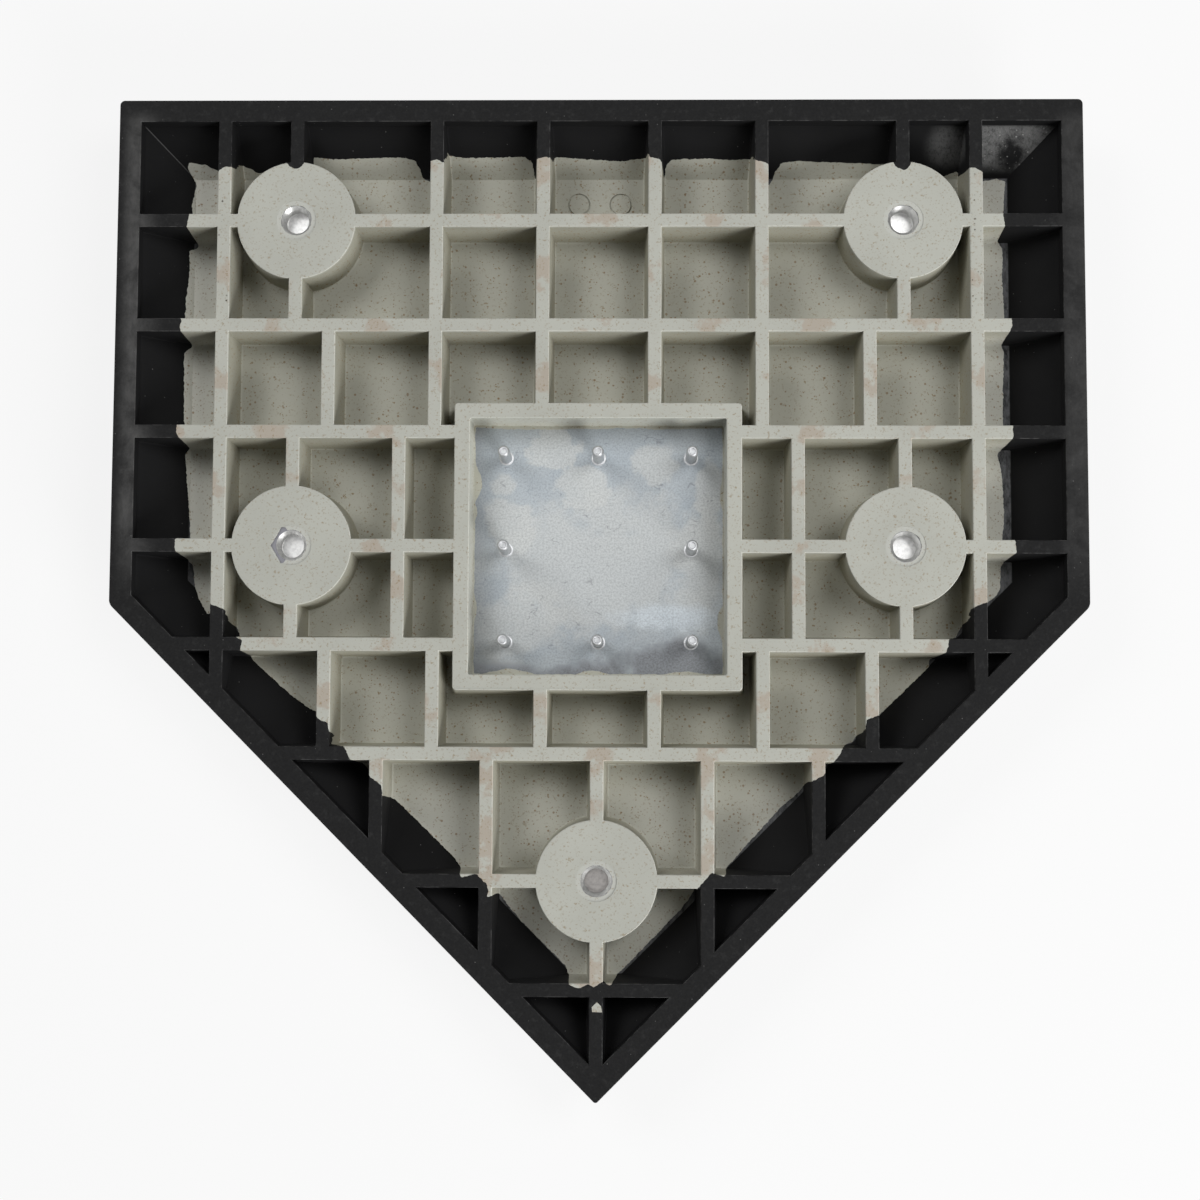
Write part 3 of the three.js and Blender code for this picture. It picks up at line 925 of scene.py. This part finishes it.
def stud(place):
    """Welded stud with a chamfered, dimpled end and a pale ring at its foot."""
    low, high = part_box(f"stud_{place}")
    head = (high.x - low.x) / 2
    profile = [(0, low.z), (head, low.z), (head, SLAB), (STUD_SHANK, SLAB), (STUD_SHANK, PLATE_TOP)]
    for start, points in ((PLATE_TOP, STUD_FOOT), (high.z, STUD_TIP)):
        profile += [(radius * MM, start + rise * MM) for radius, rise in points]
    return new_piece(f"weld_stud_{place}", turned(profile, (low + high) / 2))


def threaded_insert(place):
    """Hexagonal nut with a countersunk thread, and the height of its closed floor."""
    low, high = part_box(f"insert_{place}")
    middle = (low + high) / 2
    across_flats = high.y - low.y
    floor = low.z + INSERT_FLOOR
    thread_top = high.z - SINK_DEPTH
    profile = [(0, low.z), (across_flats, low.z), (across_flats, high.z)]
    profile += [(SINK_RADIUS, high.z), (THREAD_ROOT, thread_top)]
    z = thread_top - THREAD_PITCH / 2
    while z > floor + THREAD_PITCH:
        profile += [(THREAD_CREST, z), (THREAD_CREST, z - THREAD_FLAT), (THREAD_ROOT, z - THREAD_PITCH / 2)]
        z -= THREAD_PITCH
    profile += [(THREAD_CREST, floor + THREAD_PITCH / 2), (THREAD_CREST, floor), (0, floor)]
    bar = bmesh.new()
    add_drum(bar, middle, across_flats / math.cos(HEX_TURN), low.z - OVERCUT, high.z + OVERCUT, 6, HEX_TURN)
    body = new_piece(f"threaded_insert_{place}", turned(profile, middle))
    return carved(body, ("INTERSECT", new_piece("bar", bar))), floor


# Materials


class Field:
    """A value that varies over a finish. Arithmetic with it adds nodes to the finish."""

    def __init__(self, finish, socket):
        self.finish = finish
        self.socket = socket

    def __add__(self, other):
        return self.finish.calc("ADD", self, other)

    def __sub__(self, other):
        return self.finish.calc("SUBTRACT", self, other)

    def __rsub__(self, other):
        return self.finish.calc("SUBTRACT", other, self)

    def __mul__(self, other):
        return self.finish.calc("MULTIPLY", self, other)

    def __truediv__(self, other):
        return self.finish.calc("DIVIDE", self, other)

    def __abs__(self):
        return self.finish.calc("ABSOLUTE", self)

    def larger(self, other):
        """The larger of two values."""
        return self.finish.calc("MAXIMUM", self, other)

    def step(self, low, high):
        """Smooth step from 0 where the value is low to 1 where it is high."""
        values = {"Value": self, "From Min": low, "From Max": high}
        node = self.finish.add("ShaderNodeMapRange", values, interpolation_type="SMOOTHSTEP")
        return Field(self.finish, node.outputs["Result"])


class Finish:
    """A material under construction: adds nodes to it and lays colours over each other."""

    def __init__(self, name, base=None):
        self.material = bpy.data.materials.new(name)
        self.material.use_nodes = True
        self.tree = self.material.node_tree
        self.shader = self.tree.nodes["Principled BSDF"]
        coordinates = self.tree.nodes.new("ShaderNodeTexCoord").outputs
        self.place = coordinates["Object"]
        self.facing = coordinates["Normal"]
        self.base = base

    def feed(self, socket, value):
        """Links a field or another node's output to a socket, or sets the socket to a plain value."""
        if isinstance(value, Field):
            value = value.socket
        if isinstance(value, bpy.types.NodeSocket):
            self.tree.links.new(value, socket)
        elif socket.type == "RGBA":
            socket.default_value = (*value, 1)
        else:
            socket.default_value = value

    def add(self, kind, inputs, **settings):
        """New node with its settings made and its inputs fed."""
        node = self.tree.nodes.new(kind)
        for key, value in settings.items():
            setattr(node, key, value)
        for key, value in inputs.items():
            self.feed(node.inputs[key], value)
        return node

    def set(self, **values):
        """Feeds the shader's own sockets, named with underscores for spaces."""
        for key, value in values.items():
            self.feed(self.shader.inputs[key.replace("_", " ")], value)
        return self.material

    def calc(self, operation, first, second=0.0):
        """Arithmetic on one or two values."""
        node = self.add("ShaderNodeMath", {0: first, 1: second}, operation=operation)
        return Field(self, node.outputs[0])

    def parts(self, vector):
        """The three parts of a vector."""
        node = self.add("ShaderNodeSeparateXYZ", {0: vector})
        return [Field(self, part) for part in node.outputs]

    def coat(self, mask, colour, blend="MIX"):
        """Lays a colour over the finish so far, as far as a mask shows it."""
        values = {0: mask, 6: self.base, 7: colour}
        self.base = self.add("ShaderNodeMix", values, data_type="RGBA", blend_type=blend).outputs[2]

    def noise(self, scale, detail=4.0, roughness=0.55, distortion=0.0, where=None):
        """Cloudy noise, about 0.5 on average. Scale counts features to the metre."""
        values = {
            "Vector": where or self.place,
            "Scale": scale,
            "Detail": detail,
            "Roughness": roughness,
            "Distortion": distortion,
        }
        return Field(self, self.add("ShaderNodeTexNoise", values).outputs["Fac"])

    def drawn_out(self, x, y):
        """Places for a pattern that is longer where a share is smaller."""
        values = {0: self.place, 1: (x, y, 1)}
        return self.add("ShaderNodeVectorMath", values, operation="MULTIPLY").outputs[0]

    def distance(self, x, y, centre):
        """Distance of a place in plan from a point."""
        flat = self.add("ShaderNodeCombineXYZ", {0: x, 1: y}).outputs[0]
        values = {0: flat, 1: (centre.x, centre.y, 0)}
        return Field(self, self.add("ShaderNodeVectorMath", values, operation="DISTANCE").outputs["Value"])

    def dots(self, spacing, largest, kept):
        """Mask of scattered round dots: spacing, largest radius, and the share of them that shows."""
        values = {"Vector": self.place, "Scale": 1 / spacing, "Randomness": 1.0}
        cell = self.add("ShaderNodeTexVoronoi", values).outputs
        radius = self.parts(cell["Color"])[0].step(1 - kept, 1) * (largest / spacing)
        return (radius - cell["Distance"]).step(0, largest / spacing * DOT_SOFTNESS)

    def bump(self, height, depth):
        """Gives the shader a bumpy surface of a depth in metres."""
        values = {"Height": height, "Distance": depth, "Strength": 1.0}
        self.set(Normal=self.add("ShaderNodeBump", values).outputs["Normal"])


def rounded_edge(z):
    """Mask of the rounded edges along the tops of ribs, bosses and rim."""
    return z.step(HEIGHT - 0.6 * MM, HEIGHT - 0.4 * MM) * z.step(HEIGHT - 0.02 * MM, HEIGHT - 0.1 * MM)


def white_rubber(colours):
    """Off-white rubber: brown specks, faint clouds, stains on the ribs and dirt along the plate, with
    painted shade low down and on walls, painted light on floors beside the border and towards the point, and
    a painted highlight along rounded edges.
    """
    finish = Finish("white_rubber", [c * 1.03 for c in colours.white])
    x, y, z = finish.parts(finish.place)
    upward = finish.parts(finish.facing)[2]
    aside = abs(x)
    from_plate = aside.larger(abs(y - PLATE_MIDDLE.y))
    low = z.step(SLAB + 22 * MM, SLAB + 3 * MM)
    on_top = z.step(HEIGHT - 1 * MM, HEIGHT - 0.5 * MM)

    finish.coat(finish.noise(22, 5).step(0.35, 0.7), [c * 0.95 for c in colours.white])
    # Painted warm shade low down in the cells
    finish.coat(low, LOW_SHADE, "MULTIPLY")
    # Painted shade on the walls below the top, kept out of the recess
    walls = upward.step(0.6, 0.2) * z.step(HEIGHT - 0.3 * MM, HEIGHT - 3 * MM)
    finish.coat(walls * from_plate.step(*RECESS_FADE), WALL_SHADE, "MULTIPLY")
    # Painted light on the floors beside the border and towards the point
    clean = aside.step(*SIDE_FADE).larger(y.step(*POINT_FADE) * 0.6)
    finish.coat(clean * low, colours.clean)

    on_rib = on_top * from_plate.step(*COLLAR_FADE)
    # Painted highlight along the rounded top edges, kept off the rings round three inserts
    edges = rounded_edge(z)
    for place in ("front_right", "middle_right", "point"):
        away = finish.distance(aside, y, middle_of(f"insert_{place}"))
        on_rib *= away.step(*BOSS_FADE)
        edges *= away.step(*RING_FADE)
        finish.coat(on_top * away.step(*RUBBED_FADE) * 0.35, colours.rubbed)
    turns = math.tau / STAIN_PITCH
    across = finish.calc("COSINE", (aside - STAIN_X) * turns)
    along = finish.calc("COSINE", (y - STAIN_Y) * turns)
    wander = (finish.noise(70, 5, 0.65) - 0.5) * 4.2
    smears = (across.larger(along) + wander).step(0.7, 1.15)
    finish.coat(on_rib * smears * 0.7, colours.stain)
    finish.coat(edges * 0.5, EDGE_HIGHLIGHT, "SOFT_LIGHT")

    fine = finish.noise(900, 1).step(0.61, 0.73) * 0.42
    coarse = finish.noise(480, 2, 0.6).step(0.635, 0.73) * (low * 0.25 + 0.5)
    marks = finish.noise(150, 3, 0.6).step(0.68, 0.76) * 0.45
    for specks in (fine, coarse, marks):
        finish.coat(specks, colours.speck)
    rust = finish.dots(2.5 * MM, 0.8 * MM, 0.6).larger(finish.dots(1.5 * MM, 0.5 * MM, 0.4))
    finish.coat(rust * (low * 0.45 + 0.2), colours.rust)

    column = middle_of("insert_front_right").x + PINHOLE_COLUMN
    on_column = on_top * abs(aside - column).step(3.6 * MM, 2.6 * MM) * y.step(120 * MM, 150 * MM)
    clusters = finish.noise(75, 2).step(0.5, 0.6)
    finish.coat(finish.dots(1.5 * MM, 0.75 * MM, 0.5) * clusters * on_column * 0.85, colours.pinhole)

    foot = z.step(PLATE_TOP + 2.6 * MM, PLATE_TOP + 0.6 * MM)
    above = z.step(PLATE_TOP + 0.3 * MM, PLATE_TOP + 0.6 * MM)
    in_front = y.step(PLATE_HIGH.y - 6 * MM, PLATE_HIGH.y - 4.5 * MM)
    in_collar = y.step(PLATE_HIGH.y + 2 * MM, PLATE_HIGH.y)
    streaks = finish.noise(170, 4, 0.6).step(0.42, 0.6)
    finish.coat(foot * above * streaks * in_front * in_collar * 0.8, colours.speck)

    finish.bump(finish.noise(900, 3), 0.05 * MM)
    roughness = finish.noise(60, 3) * 0.35 + 0.47
    return finish.set(Base_Color=finish.base, Roughness=roughness, Specular_IOR_Level=0.22)


def black_rubber(colours):
    """Satin black rubber with a worn rim, pale flecks and a dusty bloom in the front right corner, a painted
    bluish sheen on its floor, and painted highlights with the dust along rounded edges and the front left
    mitre.
    """
    finish = Finish("black_rubber", colours.black)
    x, y, z = finish.parts(finish.place)
    from_left = x + HALF_WIDTH
    from_right = HALF_WIDTH - x
    from_front = FRONT_Y - y
    on_top = z.step(HEIGHT - 1 * MM, HEIGHT - 0.4 * MM)
    below_rim = z.step(HEIGHT - 7 * MM, HEIGHT - 9 * MM)
    on_floor = z.step(SLAB + 0.4 * MM, SLAB + 0.1 * MM)
    lengthwise = finish.drawn_out(1, 0.4)

    film = on_top * (finish.noise(900, 3, 0.7).step(0.2, 0.85) * 0.05 + 0.02)
    # Wear and a painted highlight along the rounded edges
    scuffs_and_highlights = rounded_edge(z) * finish.noise(120, 4, 0.7).step(0.42, 0.62) * 0.4
    blotches = on_top * finish.noise(240, 5, 0.75).step(0.5, 0.75) * 0.09
    for pale_patch in (film, scuffs_and_highlights, blotches):
        finish.coat(pale_patch, colours.dust_and_highlight)
    streaks = finish.noise(420, 5, 0.7, where=lengthwise).step(0.2, 0.7)
    # Painted bluish sheen on the flat black floor, in streaks
    finish.coat(on_floor * streaks, colours.painted_floor_sheen)

    rub = finish.noise(60, 5, 0.65, 0.4).step(0.15, 0.75) * (streaks * 0.35 + 0.43)
    worn = on_top * rub * from_front.step(3 * MM, 14 * MM) * y.step(-5 * MM, 30 * MM)
    finish.coat(worn * from_left.step(26 * MM, 9 * MM) * from_left.step(0.5 * MM, 8 * MM), colours.wear)
    finish.coat(worn * from_right.step(16 * MM, 7 * MM) * 0.5, colours.wear)
    # Dust and a painted highlight in a thin pale line along the front left mitre
    mitre_dust_and_highlight = abs(from_left - from_front).step(0.55 * MM, 0.25 * MM) * from_front.step(40 * MM, 26 * MM)
    finish.coat(mitre_dust_and_highlight * below_rim * 0.42, colours.dust_and_highlight)

    mottle = finish.noise(300, 5, 0.8) + finish.noise(1100, 4, 0.8, where=lengthwise)
    slope = (from_right - from_front).step(0, 0.6 * MM) * from_front.step(33 * MM, 26 * MM)
    on_slope = mottle.step(0.55, 1.15) * slope * below_rim
    in_corner = on_slope * from_right.step(52 * MM, 50 * MM)
    uneven = (finish.noise(140, 5, 0.7) - 0.5) * (22 * MM)
    from_spot = finish.distance(from_right, from_front, RUBBED_SPOT) + uneven
    finish.coat(in_corner * from_spot.step(2 * MM, 12 * MM), colours.dust_and_highlight)
    finish.coat(in_corner * finish.dots(1.7 * MM, 0.6 * MM, 0.55), colours.fleck)
    from_haze = finish.distance(from_right, from_front, HAZE_SPOT)
    haze = from_right.step(52 * MM, 54 * MM) * from_haze.step(15 * MM, 3 * MM)
    finish.coat(on_slope * haze * 0.65, colours.dust_and_highlight)

    finish.coat(finish.dots(3 * MM, 0.33 * MM, 0.5) * 0.4, colours.fleck)
    finish.bump(finish.noise(700, 4), 0.03 * MM)
    roughness = finish.noise(70, 4) * 0.2 + 0.56
    return finish.set(Base_Color=finish.base, Roughness=roughness, Specular_IOR_Level=0.06)


def galvanised(colours):
    """Galvanised sheet: pale puddles on blue-grey, a painted sheen, a dark back edge, painted shade along
    the left edge, fine grain and hairline scratches.
    """
    finish = Finish("galvanised_sheet", colours.zinc_blue)
    x, y, _ = finish.parts(finish.place)
    across = x - PLATE_MIDDLE.x
    along = y - PLATE_MIDDLE.y
    wobble = (finish.noise(50, 5, 0.6) - 0.5) * 2.3 + (finish.noise(260, 4, 0.7) - 0.5) * 0.45

    def puddle(at_x, at_y, half_x, half_y, softness):
        """Mask of a puddle with a wavering outline, in millimetres from the plate's middle."""
        u = (across - at_x * MM) / (half_x * MM)
        v = (along - at_y * MM) / (half_y * MM)
        reach = finish.calc("SQRT", u * u + v * v) + wobble
        return reach.step(1 + softness, 1 - softness)

    finish.coat(finish.noise(30, 5, 0.6, 0.3).step(0.3, 0.7) * 0.3, colours.zinc_pale)
    for values in PUDDLES:
        finish.coat(puddle(*values) * 0.7, colours.zinc_pale)
    finish.coat(puddle(*SHEEN) * 0.8, colours.zinc_sheen)
    grain = finish.noise(1000, 2, 0.7).step(0.36, 0.7)
    for values in DARK_BAND:
        finish.coat(puddle(*values) * (1 - grain * 0.6) * 0.85, colours.zinc_dark)
    # Painted shade along the plate's left edge, beside the recess wall
    left_edge_shade = (wobble * (5 * MM) - across).step(52 * MM, 67 * MM)
    hairlines = abs(finish.noise(110, 2, where=finish.drawn_out(0.5, 1)) - 0.5).step(0.012, 0.004)
    scratches = hairlines * finish.noise(130, 3).step(0.56, 0.62)
    for dark in (left_edge_shade * 0.42, grain * 0.36, scratches * 0.42):
        finish.coat(dark, colours.zinc_dark)
    finish.bump(finish.noise(500, 4), 0.04 * MM)
    roughness = finish.noise(35, 4) * 0.2 + 0.48
    return finish.set(Base_Color=finish.base, Metallic=0.45, Roughness=roughness)


def bright_steel(name, steel, roughness, darkening=None, above=0.0):
    """Bright steel with fine wear, and a darker top above a height where that is given."""
    finish = Finish(name, steel)
    finish.coat(finish.noise(600, 4).step(0.35, 0.75), [c * 0.75 for c in steel])
    if darkening is not None:
        z = finish.parts(finish.place)[2]
        finish.coat(z.step(above - 0.1 * MM, above), darkening)
    return finish.set(Base_Color=finish.base, Metallic=1.0, Roughness=roughness)


def dressed(piece, slot, *materials, replaces):
    """Gives a piece its finish and its place in the frame, and hides the solid it stands for."""
    piece.data.materials.clear()
    for material in materials:
        piece.data.materials.append(material)
    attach(piece, BODY)
    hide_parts(replaces)
    return piece


# Stage


def floor_material(stage):
    """Pale floor that looks even to the camera and keeps some of the object's shadow."""
    finish = Finish("pale_floor")
    finish.set(Base_Color=stage.floor, Roughness=0.9, Specular_IOR_Level=0.1)
    rays = finish.add("ShaderNodeLightPath", {}).outputs
    seen = Field(finish, rays["Is Camera Ray"])
    for ray in ("Is Glossy Ray", "Is Transmission Ray"):
        seen = seen.larger(rays[ray])
    glow = finish.add("ShaderNodeEmission", {"Color": (stage.background,) * 3, "Strength": 1.0})
    values = {0: seen * (1 - stage.shadow), 1: finish.shader.outputs[0], 2: glow.outputs[0]}
    blend = finish.add("ShaderNodeMixShader", values)
    finish.feed(finish.tree.nodes["Material Output"].inputs["Surface"], blend.outputs[0])
    return finish.material


def dome_light(stage):
    """Even world light, which shiny surfaces and the camera see brighter than it shines."""
    world = bpy.data.worlds.new("dome")
    world.use_nodes = True
    tree = world.node_tree
    rays = tree.nodes.new("ShaderNodeLightPath").outputs
    mirrored = tree.nodes.new("ShaderNodeMix")
    mirrored.inputs[2].default_value = stage.dome
    mirrored.inputs[3].default_value = stage.reflection
    tree.links.new(rays["Is Glossy Ray"], mirrored.inputs[0])
    strength = tree.nodes.new("ShaderNodeMix")
    strength.inputs[3].default_value = stage.background * (1 - stage.shadow)
    tree.links.new(rays["Is Camera Ray"], strength.inputs[0])
    tree.links.new(mirrored.outputs[0], strength.inputs[2])
    background = tree.nodes["Background"]
    background.inputs["Color"].default_value = (1, 1, 1, 1)
    tree.links.new(strength.outputs[0], background.inputs["Strength"])
    bpy.context.scene.world = world


def soft_light(name, watts, azimuth, tilt):
    """Square area light that faces the object, from a direction round from +X and down from overhead."""
    lamp = bpy.data.lights.new(name, "AREA")
    lamp.shape = "SQUARE"
    lamp.energy = watts
    lamp.size = LAMP_SIDE
    light = bpy.data.objects.new(name, lamp)
    level = LAMP_DISTANCE * math.sin(tilt)
    place = Vector((level * math.cos(azimuth), level * math.sin(azimuth), LAMP_DISTANCE * math.cos(tilt)))
    light.location = place
    light.rotation_euler = (-place).to_track_quat("-Z", "Y").to_euler()
    bpy.context.scene.collection.objects.link(light)


def photo_camera(stage):
    """Camera above the object, tilted a little, as in the photograph."""
    data = bpy.data.cameras.new("camera")
    data.lens = stage.lens
    data.sensor_width = SENSOR_WIDTH
    camera = bpy.data.objects.new("camera", data)
    camera.location = CAMERA_PLACE
    camera.rotation_mode = "ZYX"
    camera.rotation_euler = [math.radians(angle) for angle in CAMERA_TURN]
    bpy.context.scene.collection.objects.link(camera)
    bpy.context.scene.camera = camera


# Operators


class HOMEPLATE_OT_rubber(bpy.types.Operator):
    """Build the white core and the black border of the rubber moulding"""

    bl_idname = "home_plate.rubber"
    bl_label = "Rubber Moulding"

    def execute(self, context):
        colours = context.scene.home_plate_colours
        core, border = rubber_pieces(context.scene.home_plate_rubber)
        dressed(core, "core", white_rubber(colours), replaces="core")
        dressed(border, "border", black_rubber(colours), replaces="border")
        return {"FINISHED"}


class HOMEPLATE_OT_anchor_plate(bpy.types.Operator):
    """Finish the galvanised plate at the foot of the collar"""

    bl_idname = "home_plate.anchor_plate"
    bl_label = "Anchor Plate"

    def execute(self, context):
        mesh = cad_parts["anchor_plate"].data
        mesh.materials.clear()
        mesh.materials.append(galvanised(context.scene.home_plate_colours))
        return {"FINISHED"}


class HOMEPLATE_OT_studs(bpy.types.Operator):
    """Build the eight welded studs"""

    bl_idname = "home_plate.studs"
    bl_label = "Studs"

    def execute(self, context):
        steel = bright_steel("stud_zinc", context.scene.home_plate_colours.steel, STUD_ROUGHNESS)
        for place in STUDS:
            piece = softened(stud(place), SOFT_ANGLE)
            dressed(piece, "stud", steel, replaces=f"stud_{place}")
        return {"FINISHED"}


class HOMEPLATE_OT_inserts(bpy.types.Operator):
    """Build the five threaded inserts"""

    bl_idname = "home_plate.inserts"
    bl_label = "Threaded Inserts"

    def execute(self, context):
        colours = context.scene.home_plate_colours
        _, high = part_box(f"insert_{TORN_INSERT}")
        steel = bright_steel("insert_steel", colours.insert, INSERT_ROUGHNESS, colours.darkening, high.z - TOUCH)
        disc = bright_steel("insert_floor", colours.disc, DISC_ROUGHNESS)
        dull = bright_steel("dull_insert_floor", colours.dull_disc, DISC_ROUGHNESS)
        for place in INSERTS:
            piece, floor = threaded_insert(place)
            softened(piece, SHARP_ANGLE)
            floor_steel = dull if place == DULL_INSERT else disc
            dressed(piece, "insert", steel, floor_steel, replaces=f"insert_{place}")
            for face in piece.data.polygons:
                if abs(face.center.z - floor) < TOUCH:
                    face.material_index = 1
        return {"FINISHED"}


class HOMEPLATE_OT_stage(bpy.types.Operator):
    """Set up the floor, the lights and the camera"""

    bl_idname = "home_plate.stage"
    bl_label = "Stage"

    def execute(self, context):
        stage = context.scene.home_plate_stage
        bm = bmesh.new()
        bmesh.ops.create_grid(bm, x_segments=1, y_segments=1, size=FLOOR_REACH)
        bmesh.ops.translate(bm, verts=bm.verts, vec=(0, 0, -FIT_GAP))
        floor = new_piece("floor", bm)
        floor.data.materials.append(floor_material(stage))
        floor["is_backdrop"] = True
        dome_light(stage)
        for name, (azimuth, tilt) in LAMPS.items():
            soft_light(name, getattr(stage, name), math.radians(azimuth), math.radians(tilt))
        photo_camera(stage)
        context.scene.view_settings.view_transform = "Standard"
        return {"FINISHED"}


OPERATORS = (
    HOMEPLATE_OT_rubber,
    HOMEPLATE_OT_anchor_plate,
    HOMEPLATE_OT_studs,
    HOMEPLATE_OT_inserts,
    HOMEPLATE_OT_stage,
)


class HOMEPLATE_PT_sidebar(bpy.types.Panel):
    """Lists the pieces in the order they are built"""

    bl_idname = "HOMEPLATE_PT_sidebar"
    bl_label = "Home Plate"
    bl_space_type = "VIEW_3D"
    bl_region_type = "UI"
    bl_category = "Home Plate"

    def draw(self, context):
        for operator in OPERATORS:
            self.layout.operator(operator.bl_idname)


GROUPS = {
    "home_plate_rubber": HomePlateRubber,
    "home_plate_colours": HomePlateColours,
    "home_plate_stage": HomePlateStage,
}


def register():
    for cls in (*GROUPS.values(), *OPERATORS, HOMEPLATE_PT_sidebar):
        bpy.utils.register_class(cls)
    for name, group in GROUPS.items():
        setattr(bpy.types.Scene, name, PointerProperty(type=group))


def unregister():
    for name in GROUPS:
        delattr(bpy.types.Scene, name)
    for cls in reversed((*GROUPS.values(), *OPERATORS, HOMEPLATE_PT_sidebar)):
        bpy.utils.unregister_class(cls)


def main():
    register()
    bpy.ops.home_plate.rubber()
    bpy.ops.home_plate.anchor_plate()
    bpy.ops.home_plate.studs()
    bpy.ops.home_plate.inserts()
    bpy.ops.home_plate.stage()
    boxes = {"cad": cad_box, "visual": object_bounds()}
    {name: [list(corner) for corner in box] for name, box in boxes.items()}


if __name__ == "__main__":
    main()
